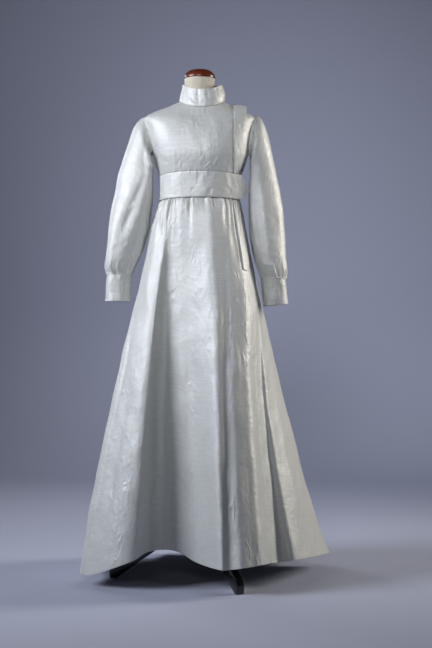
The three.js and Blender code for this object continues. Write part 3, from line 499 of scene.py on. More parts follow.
# Creases of the bodice, as seen from the front and from behind.
front_creases = [
    (-22, 1250, -30, 1400, 14, 1.6, 6), (20, 1245, 10, 1330, 10, -1.2, 0),
    (-60, 1240, -75, 1300, 9, -1.6, 4), (-48, 1238, -52, 1275, 6, -1.4, 0),
    (76, 1236, 82, 1272, 5, -1.8, 2), (90, 1236, 92, 1262, 5, -1.5, 0),
    (-20, 1436, -34, 1405, 5, -1.6, 0), (-8, 1434, -12, 1412, 5, -1.2, 0),
    (-140, 1318, -128, 1240, 8, -6.5, -3), (-130, 1300, -95, 1262, 8, -2.2, 4),
    (-140, 1322, -112, 1296, 6, -1.8, 0), (30, 1425, 60, 1330, 12, 1.0, -8),
    (-100, 1395, -60, 1330, 16, 1.2, 8), (128, 1240, 118, 1300, 7, -1.4, 0),
    (120, 1415, 128, 1380, 7, -1.2, 0),
]
back_creases = [
    (-70, 1240, -80, 1320, 10, -1.6, 5), (60, 1238, 70, 1310, 10, -1.5, -4),
    (10, 1240, 4, 1300, 8, -1.2, 2), (-30, 1455, -50, 1400, 9, -1.3, 4),
    (30, 1455, 52, 1398, 9, -1.3, -4), (-130, 1330, -80, 1300, 10, -1.8, 5),
    (130, 1326, 84, 1292, 10, -1.9, -5), (0, 1430, 4, 1330, 18, 1.0, 6),
]


def bodice_height(points):
    """Creases and unevenness of the bodice in mm, with puckers above the band's seam."""
    front = points[..., 1] < 0
    marks = np.where(front, crease(points[..., 0], points[..., 2], front_creases),
                     crease(points[..., 0], points[..., 2], back_creases))
    seam = np.exp(-((points[..., 2] - 1234) / 14) ** 2)
    pucker = 0.35 * seam * np.sin(points[..., 0] / 3.1 + 2 * np.sin(points[..., 0] / 23))
    side = smooth_step(0, 18, np.abs(points[..., 1] - 4))
    return marks * side + rumple(points, 5, 0.7, 160, 45) + pucker


right_edge = -edge_turn(body_levels, hole_front, seam_turn)
line_edge = turn_at(body_levels, closing_line)
front = bodice_points(right_edge, line_edge, body_levels)
bodice_front = cloth_piece("bodice_front_cloth", front, bodice_height(front), "bodice_front")

tip = body_levels < 7.06
side_levels = body_levels[tip]
left_edge = edge_turn(side_levels, hole_front, seam_turn)
side_front = bodice_points(turn_at(side_levels, closing_line), left_edge, side_levels)
bodice_side = cloth_piece("bodice_side_cloth", side_front, bodice_height(side_front), "bodice_side_front")

back = bodice_points(math.pi - edge_turn(body_levels, hole_back, math.pi - seam_turn),
                     math.pi + edge_turn(body_levels, hole_back, math.pi - seam_turn), body_levels)
bodice_back = cloth_piece("bodice_back_cloth", back, bodice_height(back), "bodice_back")

# ---- sleeves ----------------------------------------------------------------------------
# Each bishop sleeve is one piece of silk, eased into the armhole, full below the elbow
# and gathered into its cuff. It hangs by its own weight with nothing inside.

# Sections of a sleeve: the x and height of its outer and inner point as seen from the
# front, its middle in depth, its half depth, and how far its front leans along x, in mm.
right_sections = [
    (-138, 1409, -136, 1303, 4, 50, 0), (-167, 1412, -149, 1300, 4, 54, 0),
    (-184, 1402, -153, 1292, 4, 57, 5), (-204, 1371, -152, 1277, 5, 58, 12),
    (-222, 1318, -149, 1256, 7, 58, 20), (-244, 1252, -146, 1226, 10, 58, 28),
    (-258, 1190, -143.5, 1180, 12, 59, 16), (-271, 1123, -149, 1120, 11, 60, 2),
    (-278, 1055, -160, 1055, 8, 58, -12), (-284, 995, -178, 995, 3, 53, -18),
    (-288, 957, -197, 959, -1, 44, -16), (-281, 933.3, -209.5, 934.3, -3, 33, -8),
]
left_sections = [
    (138, 1409, 136, 1303, 4, 50, 0), (166, 1418, 149, 1301, 4, 54, 0), (187, 1408, 155, 1293, 4, 57, -5),
    (205, 1367, 155, 1277, 6, 57, -10), (217, 1318, 154, 1256, 9, 56, -16),
    (231, 1256, 152.5, 1228, 13, 55, -22), (244, 1190, 151, 1180, 15, 55, -25),
    (255, 1123, 152.5, 1113, 14, 56, -26), (260.5, 1050, 156, 1045, 11, 55, -24),
    (262.5, 985, 167, 981, 6, 51, -15), (265, 945, 178, 943, 2, 43, -8),
    (261, 919.3, 188, 921.3, 0, 33, 0),
]


def tube(rows, turn):
    """Points of sleeve sections; turn runs from the outer point forwards."""
    out_x, out_z, in_x, in_z, mid_y, deep, lean = rows
    power = 2 / 2.15
    arm = np.sign(np.cos(turn)) * np.abs(np.cos(turn)) ** power
    fore = np.sign(np.sin(turn)) * np.abs(np.sin(turn)) ** power
    x = (out_x + in_x) / 2 + (out_x - in_x) / 2 * arm + lean * np.maximum(0, np.sin(turn)) ** 2
    z = (out_z + in_z) / 2 + (out_z - in_z) / 2 * arm
    return np.stack(np.broadcast_arrays(x, mid_y - deep * fore, z), axis=-1)


# Creases of the sleeves, as seen from the front and from behind.
right_sleeve_front = [
    (-152, 1262, -276, 950, 15, 7, 0), (-160, 1316, -147, 1228, 8, -14.0, 2),
    (-172, 1370, -166, 1290, 8, -2.2, 3), (-185, 1150, -215, 1120, 6, -2.0, 3),
    (-170, 1080, -215, 1060, 6, -1.8, 4), (-180, 1030, -235, 1010, 6, -2.0, 4),
    (-225, 1030, -262, 1020, 5, -1.4, 2), (-215, 1250, -250, 1120, 14, -1.4, 6),
    (-200, 985, -245, 975, 6, -2.0, 3), (-160, 1140, -190, 1100, 6, -1.6, 2),
]
left_sleeve_front = [
    (160, 1300, 202, 955, 16, 6, 9), (164, 1392, 172, 1345, 6, -6.5, 0),
    (190, 1350, 215, 1230, 12, -1.8, -6), (180, 1120, 225, 1095, 7, -1.8, 4),
    (185, 1050, 240, 1035, 7, -1.8, 4), (190, 1000, 245, 985, 6, -2.0, 4),
    (230, 1150, 246, 1040, 9, -1.4, -4), (185, 965, 235, 960, 6, -2.2, 3),
]
sleeve_back = [
    (160, 1260, 205, 1000, 22, 7, 6), (170, 1330, 200, 1240, 10, -2.5, 5),
    (175, 1150, 230, 1120, 8, -2.4, 5), (180, 1085, 240, 1060, 8, -2.2, 5),
    (190, 1020, 250, 1000, 7, -2.4, 4), (225, 1200, 245, 1090, 11, -2.0, 4),
    (190, 985, 240, 970, 6, -2.2, 3),
]


def sleeve(name, sections, side, front_rows, node):
    """A sleeve that starts on the armhole's edge and hangs through its sections."""
    levels = np.concatenate([np.linspace(0, 1, 26) ** 1.3 * 1.1 + 0.8, np.linspace(1.97, 10.2, 96),
                             np.linspace(10.25, 10.95, 22), [10.97, 10.985, 11]])[:, None]
    turns = np.linspace(0, math.tau, 121)[None, :]
    hung = tube(between(sections, levels), turns)
    hole_level = hole_middle + hole_reach * np.cos(turns)
    inset = np.where(np.sin(turns) > 0, hole_front, hole_back)
    lean = math.pi / 2 - inset * np.abs(np.sin(turns)) ** 0.8
    lean = np.where(np.sin(turns) > 0, lean, math.pi - lean) * side
    head = ring(between(bodice_rings, hole_level), lean)
    head[..., 0] += 1.5 * side
    blend = smooth_step(0.75, 2.2, levels)[..., None]
    points = head * (1 - blend) + hung * blend
    deepen = smooth_step(0.75, 3.4, levels)
    points[..., 1] = head[..., 1] * (1 - deepen) + hung[..., 1] * deepen
    # gathers above the cuff: uneven pleats that fade out within a hand's breadth
    draw = np.random.default_rng(21 if side < 0 else 22)
    near = smooth_step(8.8, 10.9, levels) * (1 - 0.4 * smooth_step(10.8, 11, levels))
    pleats = sum(2.0 * np.cos(count * turns + draw.uniform(0, 6.28)) for count in (6, 11, 16, 23)) / 1.5
    pleats = -np.abs(pleats) ** 1.2 + 2.0
    x, z = points[..., 0], points[..., 2]
    marks = np.where(points[..., 1] < 6, crease(x, z, front_rows), crease(np.abs(x), z, sleeve_back))
    facing = smooth_step(0, 22, np.abs(points[..., 1] - 6))
    ease = 0.9 * np.exp(-(levels - 0.8) / 0.35) * np.sin(19 * turns + 2 * np.sin(3 * turns))
    ease = ease * (np.cos(turns) > -0.2)
    uneven = rumple(points, 9, 1.3, 170, 40) * smooth_step(0.8, 2, levels)
    height = near * pleats + marks * facing + ease + uneven
    return cloth_piece(name, points, height, node, looped=True, flip=side > 0, tuck=(0, 0, 2.2, 2.4))


sleeve_right = sleeve("sleeve_right_cloth", right_sections, -1, right_sleeve_front, "sleeve_right")
sleeve_left = sleeve("sleeve_left_cloth", left_sections, 1, left_sleeve_front, "sleeve_left")

# ---- cuffs ------------------------------------------------------------------------------
# Deep closed cuffs of doubled silk, straight and a little wider at the hand, seamed to
# the gathers at their upper edge.

right_cuff = [(-281, 933, -209.5, 934, -3, 33, -8), (-284, 892, -211.5, 892, -4, 34, -6),
              (-287, 850, -213, 850, -5, 35, -4)]
left_cuff = [(261, 919, 188, 921, 0, 33, 0), (265.5, 880, 192, 877, -1, 34, -4),
             (270, 841, 197, 833, -2, 35, -6)]
right_cuff_creases = [(-275, 905, -222, 902, 6, -1.6, 3), (-262, 930, -258, 912, 4, -1.4, 0),
                      (-240, 930, -243, 912, 4, -1.5, 0), (-278, 880, -240, 876, 7, 1.0, 2)]
left_cuff_creases = [(232, 900, 240, 860, 6, -1.4, 3), (215, 912, 222, 890, 4, -1.5, 0),
                     (246, 908, 250, 882, 4, -1.2, 0), (205, 862, 250, 852, 6, -1.0, 2)]


def cuff(name, sections, side, rows, node):
    """A cuff through its sections, puckered at its upper seam."""
    places = np.concatenate([[0, 0.02, 0.06], np.linspace(0.12, 1.88, 32), [1.94, 1.98, 2]])[:, None]
    turns = np.linspace(0, math.tau, 97)[None, :]
    points = tube(between(sections, places), turns)
    marks = np.where(points[..., 1] < 0, crease(points[..., 0], points[..., 2], rows), 0)
    pucker = 0.45 * np.exp(-places / 0.25) * np.sin(21 * turns + np.sin(5 * turns))
    height = marks + pucker + rumple(points, 13, 0.6, 90, 30)
    return cloth_piece(name, points, height, node, looped=True, flip=side > 0, tuck=(0, 0, 0.35, 1.6))


cuff_right = cuff("cuff_right_cloth", right_cuff, -1, right_cuff_creases, "cuff_right")
cuff_left = cuff("cuff_left_cloth", left_cuff, 1, left_cuff_creases, "cuff_left")

# ---- stand collar -----------------------------------------------------------------------
# A soft stand of doubled silk on the neck seam, open at the wearer's left shoulder. It
# has slumped a little, with one upright crease in front.

neck_seam = bodice_rings[-1]
collar_rings = [neck_seam, (*neck_seam[:3], 67.5, 10, 63, 60, 2.1), (*neck_seam[:3], 61, 9, 61, 58, 2.1)]
collar_height = 53
collar_creases = [
    (-5, 1496, -3, 1444, 4.5, -5.5, 1), (12, 1496, 16, 1452, 8, 2.4, 0), (-30, 1468, -4, 1450, 4, -2.6, 3),
    (-24, 1456, 4, 1442, 4, -2.4, 2), (20, 1470, 48, 1452, 6, -1.2, 3), (-44, 1500, -40, 1450, 7, -1.4, 2),
    (52, 1505, 60, 1460, 6, -2.0, 2), (66, 1500, 70, 1462, 5, -1.8, 2), (30, 1492, 34, 1460, 6, 1.0, 0),
]
heights = np.concatenate([[0, 0.03, 0.08], np.linspace(0.16, 1.86, 34), [1.93, 1.975, 2]])[:, None]
turns = np.concatenate([[0, 0.002, 0.006], np.linspace(0.014, 0.986, 112), [0.994, 0.998, 1]])
turns = math.pi / 2 + 0.004 + (math.tau - 0.008) * turns[None, :]
collar_points = ring(between(collar_rings, heights), turns)
collar_points[..., 2] += heights / 2 * collar_height
folds = np.where(collar_points[..., 1] < 0,
                 crease(collar_points[..., 0], collar_points[..., 2], collar_creases),
                 crease(collar_points[..., 0], collar_points[..., 2],
                        [(-30, 1515, -26, 1470, 7, -1.8, 2), (24, 1515, 30, 1472, 7, -1.6, -2)]))
wave = 1.2 * np.sin(3 * turns + 1) * (heights / 2) ** 2
collar = cloth_piece("collar_cloth", collar_points,
                     folds + wave + rumple(collar_points, 17, 0.7, 80, 25), "collar",
                     tuck=(0.3, 0.3, 1.0, 0.3))

# ---- closing strip on the bodice --------------------------------------------------------
# A flat facing strip covers the closing from the band up to the shoulder, where its free
# end stands off the seam.

strip_stand = 2.2                    # outer face of the strips above the cloth below
shoulder_levels = np.linspace(5, 8, 301)
shoulder_widths = between(bodice_rings, shoulder_levels)
shoulder_widths = shoulder_widths[3] + shoulder_widths[4]

climb = np.concatenate([[0, 0.004, 0.012], np.linspace(0.03, 0.97, 88), [0.984, 0.995, 1]])[:, None]
part = np.concatenate([[0, 0.025, 0.07], np.linspace(0.14, 0.86, 15), [0.93, 0.975, 1]])[None, :]
strip_edge = 143 - 21 * (1 - smooth_step(0, 0.45, climb))
strip_x = closing_line - 2 * (1 - climb) + part * (strip_edge - closing_line)
strip_level = climb * np.interp(-strip_x, -shoulder_widths, shoulder_levels) * 0.998
strip_points = ring(between(bodice_rings, strip_level), turn_at(strip_level, strip_x))
strip_points[..., 2] += 18 * climb ** 7 * (0.3 + 0.7 * part)
strip_points[0, :, 2] += 0.6
strip_marks = crease(strip_points[..., 0], strip_points[..., 2], [
    (112, 1405, 118, 1372, 6, -1.2, 2), (128, 1398, 124, 1360, 6, -1.4, 2),
    (110, 1330, 114, 1300, 6, -0.9, 1), (124, 1290, 112, 1262, 6, -1.0, 1)])
placket = cloth_piece("placket_bodice_cloth", strip_points,
                      strip_stand + strip_marks + 0.3 * rumple(strip_points, 5, 0.7, 160, 45),
                      "placket_bodice", tuck=(0.4, 0.3, 0.8, 0.3))

# ---- midriff band -----------------------------------------------------------------------
# A firm band of doubled silk. Its front crosses to the wearer's left and runs on, free of
# the body, to a pointed end; the back goes under it there.

band_rings = [
    (1155, 1160, 1156, 123, 0, 104, 86, 2.2),
    (1191, 1198, 1193, 123, 0, 105, 85, 2.2),
    (1228, 1237, 1230, 124, 0, 108, 86, 2.2),
]
band_lift = 0.8
lap_start, taper_start, tab_end = (math.radians(angle) for angle in (40, 66, 80))
tab_reach, tab_point = 152, 1181     # x and height of the point
lap_x, sideways = 83, 0.83           # x at the lap start, and how much of the run goes along x


def band_front_points(turn, level):
    """The front band leaves the body at the lap start and runs straight on to its point."""
    on_body = ring(between(band_rings, level), turn)
    start = ring(between(band_rings, level), np.full_like(turn, lap_start))
    before = ring(between(band_rings, level), np.full_like(turn, lap_start - 0.02))
    heading = start - before
    heading[..., 2] = 0
    heading /= np.linalg.norm(heading, axis=-1, keepdims=True)
    start[..., 2] = on_body[..., 2]
    taper = 0.97 * np.clip((turn - taper_start) / (tab_end - taper_start), 0, None)
    start[..., 2] += (tab_point - start[..., 2]) * taper
    run = (tab_reach - lap_x) / sideways / (tab_end - lap_start) * (turn - lap_start)
    return np.where((turn > lap_start)[..., None], start + heading * run[..., None], on_body)


band_creases = [
    (-95, 1225, -88, 1165, 9, -1.5, 3), (-60, 1232, -50, 1168, 12, 1.2, 3),
    (-20, 1195, -14, 1162, 7, -2.0, 2), (-8, 1230, 0, 1200, 8, -1.0, 0), (36, 1190, 30, 1160, 7, -1.8, 2),
    (52, 1225, 60, 1170, 9, -1.4, 4), (70, 1232, 64, 1190, 7, -1.4, 2), (84, 1228, 96, 1180, 7, 1.2, 2),
    (100, 1220, 92, 1170, 8, -1.4, 3), (15, 1235, 10, 1190, 9, 1.1, 2),
    (-110, 1215, -112, 1170, 8, -1.0, 0),
]
levels = np.concatenate([[0, 0.027, 0.08], np.linspace(0.16, 1.84, 34), [1.92, 1.973, 2]])[:, None]
turns = np.concatenate([-math.pi / 2 + np.array([0.0012, 0.01, 0.025]), np.linspace(-1.53, lap_start, 84),
                        np.linspace(lap_start + 0.02, taper_start, 16),
                        np.linspace(taper_start + 0.01, tab_end, 24)])
turns = np.broadcast_to(turns[None, :], (len(levels), len(turns)))
points = band_front_points(turns, np.broadcast_to(levels, turns.shape))
marks = crease(points[..., 0], points[..., 2], band_creases)
marks = marks * (1 - smooth_step(lap_start, taper_start, turns))
band_front = cloth_piece("band_front_cloth", points,
                         band_lift + marks
                         + rumple(points, 23, 0.6, 120, 35) * (1 - smooth_step(0.9, 1.3, turns)),
                         "band_front", tuck=(0.8, 0.2, 0.8, 0.8))

turns = np.concatenate([math.radians(56) + np.array([0, 0.01, 0.03]), np.linspace(1.03, 4.67, 110),
                        1.5 * math.pi - np.array([0.03, 0.01, 0.0012])])
points = ring(between(band_rings, levels), turns[None, :])
marks = crease(points[..., 0], points[..., 2], [
    (-70, 1228, -62, 1165, 9, -1.6, 3), (-30, 1225, -36, 1170, 9, 1.2, 2), (12, 1228, 6, 1168, 8, -1.6, 2),
    (52, 1226, 60, 1166, 9, -1.6, 3), (88, 1222, 84, 1168, 8, -1.3, 2)]) * (points[..., 1] > 10)
band_back = cloth_piece("band_back_cloth", points,
                        band_lift + marks + rumple(points, 23, 0.6, 120, 35), "band_back",
                        tuck=(0.3, 0.8, 0.8, 0.8))

# ---- skirt ------------------------------------------------------------------------------
# Three long A-line panels, gathered into the band and seamed at both sides and the centre
# back, fall in deep soft folds to a hem that hangs clear in front and sinks almost to the
# floor behind.

# Folds round the skirt from the wearer's right side: angle at the band, the hem's x and
# distance before the axis, its height above the floor, how early the fold flattens out,
# the puff under the band, and how far it stands out over the hip, in degrees and mm.
skirt_folds = [
    (-92, -359, 99, 36, 1.2, 1, 0), (-80, -320, 148, 39, 1.15, 1, 0), (-67, -250, 198, 68, 1.15, 1, 0),
    (-56, -190, 204, 92, 1.25, 1, 0), (-47, -158, 150, 104, 1.7, 0.8, 0), (-40, -127, 94, 103, 2.2, 0.5, 0),
    (-33, -90, 98, 104, 2.0, 0.7, 0), (-23, -53, 124, 98, 1.6, 1, 0), (-8, -12, 162, 79, 1.3, 1, 0),
    (12, 58, 293, 80, 1.1, 1, 0), (30, 88, 289, 79, 1.05, 0.8, 0), (41, 122, 305, 85, 1.0, 0.6, 4),
    (50, 156, 290, 88, 1.0, 0.4, 8), (59, 189, 262, 89, 1.0, 0.2, 14), (68, 214, 172, 78, 1.0, 0.1, 20),
    (77, 250, 110, 70, 0.95, 0.1, 19), (87, 303, 96, 77, 0.9, 0.3, 10), (98, 417, -200, 48, 0.85, 0.6, 0),
    (112, 314, -250, 40, 0.95, 1, 0), (126, 292, -385, 30, 0.85, 1, 0), (141, 166, -392, 26, 0.95, 1, 0),
    (157, 74, -486, 18, 0.85, 1, 0), (172, -22, -428, 18, 0.95, 1, 0), (188, -132, -462, 18, 0.85, 1, 0),
    (203, -196, -352, 26, 0.95, 1, 0), (218, -298, -312, 28, 0.95, 1, 0), (232, -290, -190, 33, 1.05, 1, 0),
    (246, -346, -118, 33, 1.05, 1, 0), (257, -334, -10, 38, 1.15, 1, 0),
]
fold_count = len(skirt_folds)
left_seam, centre_back, right_seam = 14, 21.7, 0.45
band_foot, front_hem = band_rings[0][0], 60
skirt_length = 1100


def skirt_points(fold, drop):
    """Points of the skirt; fold runs round by table rows, drop from the band to the hem."""
    fold, drop = np.broadcast_arrays(fold, drop)
    soft = 0.45 * (1 - drop)             # folds are rounder above than at the hem
    _, side, fore, rise, settle, full, hip = sum(
        share * between(skirt_folds, fold + way * soft, looped=True)
        for way, share in ((-1, 0.25), (0, 0.5), (1, 0.25)))
    laps = np.arange(-2, 3)[:, None]
    unrolled = (np.array([row[0] for row in skirt_folds])[None, :] + 360 * laps).reshape(-1, 1)
    waist = between(unrolled, fold + 2 * fold_count)[0]
    top = ring(between(band_rings, np.zeros_like(fold)), np.radians(waist))
    out = 1 - (1 - drop) ** settle
    away = top[..., :2] / np.linalg.norm(top[..., :2], axis=-1, keepdims=True)
    puff = 9 * full * (drop / 0.05) * np.exp(1 - drop / 0.05)
    bump = hip * np.exp(-((drop - 0.28) / 0.2) ** 2)
    gather = 2.6 * np.exp(-drop / 0.05) * np.cos(math.tau * fold)
    push = puff + bump + gather - 2.6
    x = top[..., 0] + (side - top[..., 0]) * out + away[..., 0] * push
    y = top[..., 1] + (-fore - top[..., 1]) * out + away[..., 1] * push
    z = top[..., 2] - 0.3 + (rise - top[..., 2]) * drop
    return np.stack([x, y, z], axis=-1)


# Pleats that the gathering thread draws at the band: place round the skirt in folds, half
# width in folds, depth and length in mm.
pleats = [
    (1.6, 0.14, 3.5, 22), (2.4, 0.16, 4.5, 34), (3.2, 0.12, 3.5, 20), (3.75, 0.14, 4.5, 30),
    (4.65, 0.2, 10.0, 58), (5.3, 0.1, 3.0, 18), (6.15, 0.1, 4.0, 20), (6.75, 0.08, 3.0, 16),
    (7.8, 0.13, 10.0, 66), (8.15, 0.07, 4.0, 18), (8.7, 0.08, 4.0, 24), (9.3, 0.09, 8.0, 26),
    (10.1, 0.07, 3.5, 16), (10.8, 0.16, 7.0, 40), (11.25, 0.08, 3.0, 16), (11.7, 0.14, 3.0, 16),
    (12.6, 0.12, 3.0, 20),
]
# Creases of the skirt, as seen from the front and from behind.
skirt_creases = [
    (-112, 930, -126, 90, 25, -9, 4), (58, 960, 84, 40, 20, 6, 0), (262, 780, 298, 60, 26, 10, 0),
    (162, 900, 224, 70, 22, 3, -6), (200, 620, 262, 120, 24, -5, 0), (-190, 830, -262, 470, 5, -3.5, -4),
    (-205, 650, -292, 110, 12, -4, -4), (-262, 470, -300, 250, 5, -2.5, 0),
    (-96, 1145, -124, 930, 13, -9, 6), (70, 1130, 118, 960, 14, -3.5, -8),
    (-110, 1080, -160, 820, 16, 3.5, 10), (-70, 872, -112, 856, 6, -2.6, 3),
    (-66, 854, -116, 840, 6, 1.6, 2), (-34, 880, 6, 800, 6, -1.0, 4), (-14, 850, 26, 770, 6, -0.9, 3),
    (30, 812, 44, 780, 5, -1.6, 2), (26, 740, 52, 700, 6, -1.8, 3), (34, 700, 56, 650, 6, -1.6, 3),
    (40, 650, 58, 590, 7, -1.4, 3), (-62, 640, -22, 500, 6, -1.3, 6), (-50, 650, -6, 500, 6, -1.2, 6),
    (-36, 640, 4, 520, 6, -1.1, 5), (-74, 600, -44, 440, 7, -1.2, 5), (-58, 540, -22, 420, 6, 1.0, 5),
    (-20, 480, 6, 380, 7, -1.0, 5), (-88, 470, -66, 250, 9, -1.3, 5), (-64, 400, -44, 240, 8, -1.1, 5),
    (104, 780, 126, 600, 9, 1.4, 5), (190, 640, 236, 470, 8, -1.3, 8), (206, 560, 250, 420, 8, 1.2, 6),
    (236, 480, 268, 330, 8, -1.4, 6), (250, 420, 300, 260, 8, -1.3, 6), (262, 340, 318, 200, 8, 1.2, 6),
    (230, 300, 262, 180, 8, -1.2, 4), (-300, 260, -276, 330, 7, -1.6, 3),
    (-310, 220, -284, 290, 7, 1.2, 3), (-318, 180, -296, 230, 6, -1.2, 2), (60, 420, 84, 300, 9, -1.3, 5),
    (150, 520, 170, 380, 9, -1.2, 5), (20, 330, 30, 190, 9, -1.2, 3), (-150, 700, -170, 520, 11, 1.6, 5),
    (-170, 470, -184, 300, 12, 1.5, 5),
]
hidden_creases = [
    (-170, 900, -150, 700, 12, -3.0, 8), (-90, 1040, -110, 860, 10, -3.0, 6),
    (-20, 1080, -30, 900, 9, -2.6, 5), (60, 1060, 90, 880, 10, -3.0, 6),
    (140, 900, 170, 720, 12, -2.8, 8), (10, 800, 50, 640, 9, -2.2, 8), (-60, 760, -90, 600, 9, -2.2, 8),
    (-200, 600, -230, 420, 10, -2.4, 8), (110, 620, 150, 440, 10, -2.4, 8),
    (0, 560, -30, 380, 10, -2.2, 8), (200, 560, 240, 380, 10, -2.4, 8),
    (-120, 480, -110, 300, 10, -2.2, 8), (60, 420, 90, 240, 10, -2.2, 8),
    (-240, 360, -262, 200, 10, -2.4, 8), (250, 330, 290, 180, 10, -2.4, 8),
]

# Lines that the stitched closing strip presses into the cloth beside it, and the strip: its
# width, the x of its front edge at the band and at its end, and its end and point heights.
beside_strip = [(97, 1156, 131, 940, 3.2, -3.4, 0), (133, 1150, 155, 952, 3.2, -2.6, 0)]
strip_width, strip_top, strip_end = 37, 99, 128
strip_end_z, strip_point_z = 962, 934

draw = np.random.default_rng(31)
hidden_places = np.concatenate([np.arange(12.4, 28.9, 0.52), [0.2, 0.75, 1.3, 1.65]])
hidden_pleats = [(place + draw.uniform(-0.12, 0.12), 0.1 + 0.08 * draw.random(), 2.5 + 4 * draw.random(),
                  25 + 60 * draw.random()) for place in hidden_places]


def skirt_height(fold, points, drop):
    """Creases, gathers and unevenness in mm; the cloth lies calm where the strip is stitched."""
    front = points[..., 1] < 0
    x, z = points[..., 0], points[..., 2]
    inward = x - strip_top - (strip_end - strip_top) * (band_foot - z) / (band_foot - strip_end_z)
    stitched = smooth_step(-14, 0, inward) * (1 - smooth_step(26, 40, inward))
    loose = 1 - front * stitched * smooth_step(915, 940, z)
    marks = np.where(front, crease(x, z, skirt_creases), crease(x, z, hidden_creases))
    facing = smooth_step(0, 25, np.abs(points[..., 1]))
    below = drop * skirt_length
    drawn = np.zeros_like(marks)
    place = np.mod(fold, fold_count)
    for where, width, depth, length in pleats + hidden_pleats:
        spread = width * (1 + 1.5 * below / length / 4)
        drawn -= depth * np.exp(-((place - where) / spread) ** 2) * np.exp(-(below / length) ** 1.6)
    fade = smooth_step(0, 12, below)
    uneven = rumple(points, 41, 1.9, 200, 45, 0.4)
    return (marks * facing * loose + uneven) * fade + drawn * (0.35 + 0.65 * fade) * loose


def skirt_panel(name, start, end, columns, rows, node, lines=()):
    """A panel of the skirt between two fold places, its grid drawn close at the edges."""
    inside = np.linspace(start, end, columns)
    drops = np.linspace(0, 1, rows) ** 1.25
    drops = np.concatenate([[0, 0.0009, 0.0026], drops[drops > 0.005]])
    drops = np.concatenate([drops[drops < 0.995], [0.9974, 0.9991, 1]])[::-1][:, None]
    steps = np.diff(skirt_points(inside[None, :], drops), axis=1)
    width = np.linalg.norm(steps, axis=-1).sum(axis=1)[:, None]
    reach = (end - start) / width            # folds for each mm of cloth, row by row
    fold = np.concatenate([start + reach * np.array([[0.15, 1.0, 3.0]]),
                           np.broadcast_to(inside[2:-2], (len(drops), columns - 4)),
                           end - reach * np.array([[3.0, 1.0, 0.15]])], axis=1)
    fold = np.sort(fold, axis=1)
    drop = np.broadcast_to(drops, fold.shape)
    points = skirt_points(fold, drop)
    height = skirt_height(fold, points, drop) + crease(points[..., 0], points[..., 2], lines)
    return cloth_piece(name, points, height, node, tuck=(1.0, 1.0, 0.3, 1.0))


skirt_front = skirt_panel("skirt_front_cloth", right_seam, left_seam, 260, 150, "skirt_front", beside_strip)
skirt_left = skirt_panel("skirt_back_left_cloth", left_seam, centre_back, 130, 120, "skirt_back_left")
skirt_right = skirt_panel("skirt_back_right_cloth", centre_back, right_seam + fold_count, 130, 120,
                          "skirt_back_right")

# ---- closing strip on the skirt ---------------------------------------------------------
# The closing goes on down the skirt under a flat strip, stitched down and ended in a
# blunt point.


def fold_at(x, drop):
    """Fold place where the skirt has the given x, on the wearer's left of the front."""
    low = np.full(np.broadcast(x, drop).shape, 10.0)
    high = np.full(low.shape, left_seam + 2.0)
    for _ in range(26):
        middle = (low + high) / 2
        short = skirt_points(middle, drop)[..., 0] < x
        low, high = np.where(short, middle, low), np.where(short, high, middle)
    return low


end_drop, tip_drop = ((band_foot - z) / (band_foot - front_hem) for z in (strip_end_z, strip_point_z))
climb = np.concatenate([[0, 0.005, 0.014], np.linspace(0.03, 0.97, 80), [0.986, 0.995, 1]])[::-1][:, None]
part = np.concatenate([[0, 0.027, 0.08], np.linspace(0.15, 0.85, 17), [0.92, 0.973, 1]])[None, :]
point = np.interp(part, [0, 0.3, 0.5, 1], [0.9, 1, 1, 0])      # the front corner is cut off least
drop = 0.002 + climb * (end_drop + (tip_drop - end_drop) * point - 0.002)
front_edge = fold_at(strip_top + (strip_end - strip_top) * drop / end_drop, drop)
pace = np.linalg.norm(skirt_points(front_edge + 0.01, drop) - skirt_points(front_edge, drop), axis=-1) / 0.01
fold = front_edge + part * strip_width / pace
points = skirt_points(fold, drop)
under = skirt_height(fold, points, np.broadcast_to(drop, fold.shape))
front_roll = 0.8 * np.exp(-(part / 0.1) ** 2)        # the folded edge stands up a little
placket_skirt = cloth_piece("placket_skirt_cloth", points, 1.2 * strip_stand + under + front_roll,
                            "placket_skirt", tuck=(0.3, 0.3, 0.3, 0.8))

# ---- floor, light and camera ------------------------------------------------------------
# A pale floor with a roll of the same paper hung behind the gown, a cool key light from
# the left, weaker ones from the right and behind, and a camera level with the gown's middle.

paper = bpy.data.materials.new("Pale studio paper")
paper.use_nodes = True
tree = paper.node_tree
shader = tree.nodes["Principled BSDF"]
shader.inputs["Base Color"].default_value = linear("#C0C5D8")
shader.inputs["Roughness"].default_value = 0.9
side = add(tree, "ShaderNodeNewGeometry")
clear = add(tree, "ShaderNodeBsdfTransparent")       # the roll's back lets the gown be seen
sheet = add(tree, "ShaderNodeMixShader", {0: side.outputs["Backfacing"], 1: shader.outputs["BSDF"],
                                          2: clear.outputs["BSDF"]})
tree.links.new(sheet.outputs["Shader"], tree.nodes["Material Output"].inputs["Surface"])
sweep = bmesh.new()
floor_half, roll_half, roll_start = 9.0, 1.9, 2.6
roll_radius, roll_top = 0.9, 4.2
corners = [(-floor_half, -floor_half), (floor_half, -floor_half), (floor_half, roll_start),
           (-floor_half, roll_start)]
sweep.faces.new([sweep.verts.new((x, y, 0)) for x, y in corners])
profile = [(roll_start + roll_radius * math.sin(a), roll_radius - roll_radius * math.cos(a))
           for a in np.linspace(0, math.pi / 2, 13)]
profile += [(roll_start + roll_radius, roll_top)]
verts = [sweep.verts.new((-roll_half, y, z)) for y, z in profile]
edges = [sweep.edges.new(pair) for pair in zip(verts, verts[1:])]
grown = bmesh.ops.extrude_edge_only(sweep, edges=edges)["geom"]
moved = [item for item in grown if isinstance(item, bmesh.types.BMVert)]
bmesh.ops.translate(sweep, verts=moved, vec=(2 * roll_half, 0, 0))
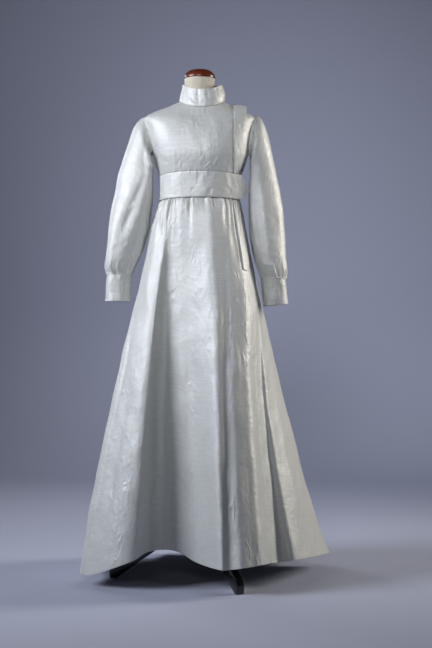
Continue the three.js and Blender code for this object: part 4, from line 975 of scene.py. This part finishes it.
for face in sweep.faces:                # every face looks towards the gown
    face.normal_update()
    if face.normal.dot(Vector((0, 0, 1)) - face.calc_center_median()) < 0:
        face.normal_flip()
mesh = bpy.data.meshes.new("studio_sweep")
sweep.to_mesh(mesh)
sweep.free()
mesh.shade_smooth()
mesh.materials.append(paper)
floor = bpy.data.objects.new("studio_sweep", mesh)
bpy.context.scene.collection.objects.link(floor)


def soft_light(name, place, target, size, power, colour, spread):
    """A soft box at place that looks at target, with a grid that narrows its spread."""
    lamp = bpy.data.lights.new(name, "AREA")
    lamp.shape = "RECTANGLE"
    lamp.size, lamp.size_y = size
    lamp.energy = power
    lamp.color = linear(colour)[:3]
    lamp.spread = math.radians(spread)
    box = bpy.data.objects.new(name, lamp)
    box.location = place
    box.rotation_euler = (Vector(target) - Vector(place)).to_track_quat("-Z", "Y").to_euler()
    bpy.context.scene.collection.objects.link(box)


soft_light("key", (-3.0, -1.4, 2.2), (0, 0, 1.05), (1.7, 1.5), 25, "#EEF3FF", 80)
soft_light("warm side", (3.25, 0.65, 1.8), (0, 0, 0.95), (0.9, 1.6), 18, "#FFFAF2", 80)
soft_light("bodice fill", (-0.6, -4.4, 2.4), (0, 0, 1.34), (1.2, 0.8), 3.2, "#F6F8FF", 30)
soft_light("back", (-3.2, 3.4, 2.5), (0, 0, 0.95), (1.4, 1.4), 7, "#F4F5FF", 70)
soft_light("backdrop", (0, 1.4, 3.4), (0, 3.4, 0.8), (2.4, 0.6), 11, "#F4F5FF", 120)

world = bpy.data.worlds.new("studio")
world.use_nodes = True
world.node_tree.nodes["Background"].inputs["Color"].default_value = linear("#D8DAE2")
world.node_tree.nodes["Background"].inputs["Strength"].default_value = 0.02
bpy.context.scene.world = world
bpy.context.scene.view_settings.view_transform = "Standard"

lens = bpy.data.cameras.new("camera")
lens.lens = 76.25
lens.sensor_width = 36
camera = bpy.data.objects.new("camera", lens)
camera.location = AXIS + (0.050, -4.200, 0.780)
camera.rotation_euler = (math.pi / 2, 0, 0)
bpy.context.scene.collection.objects.link(camera)
bpy.context.scene.camera = camera
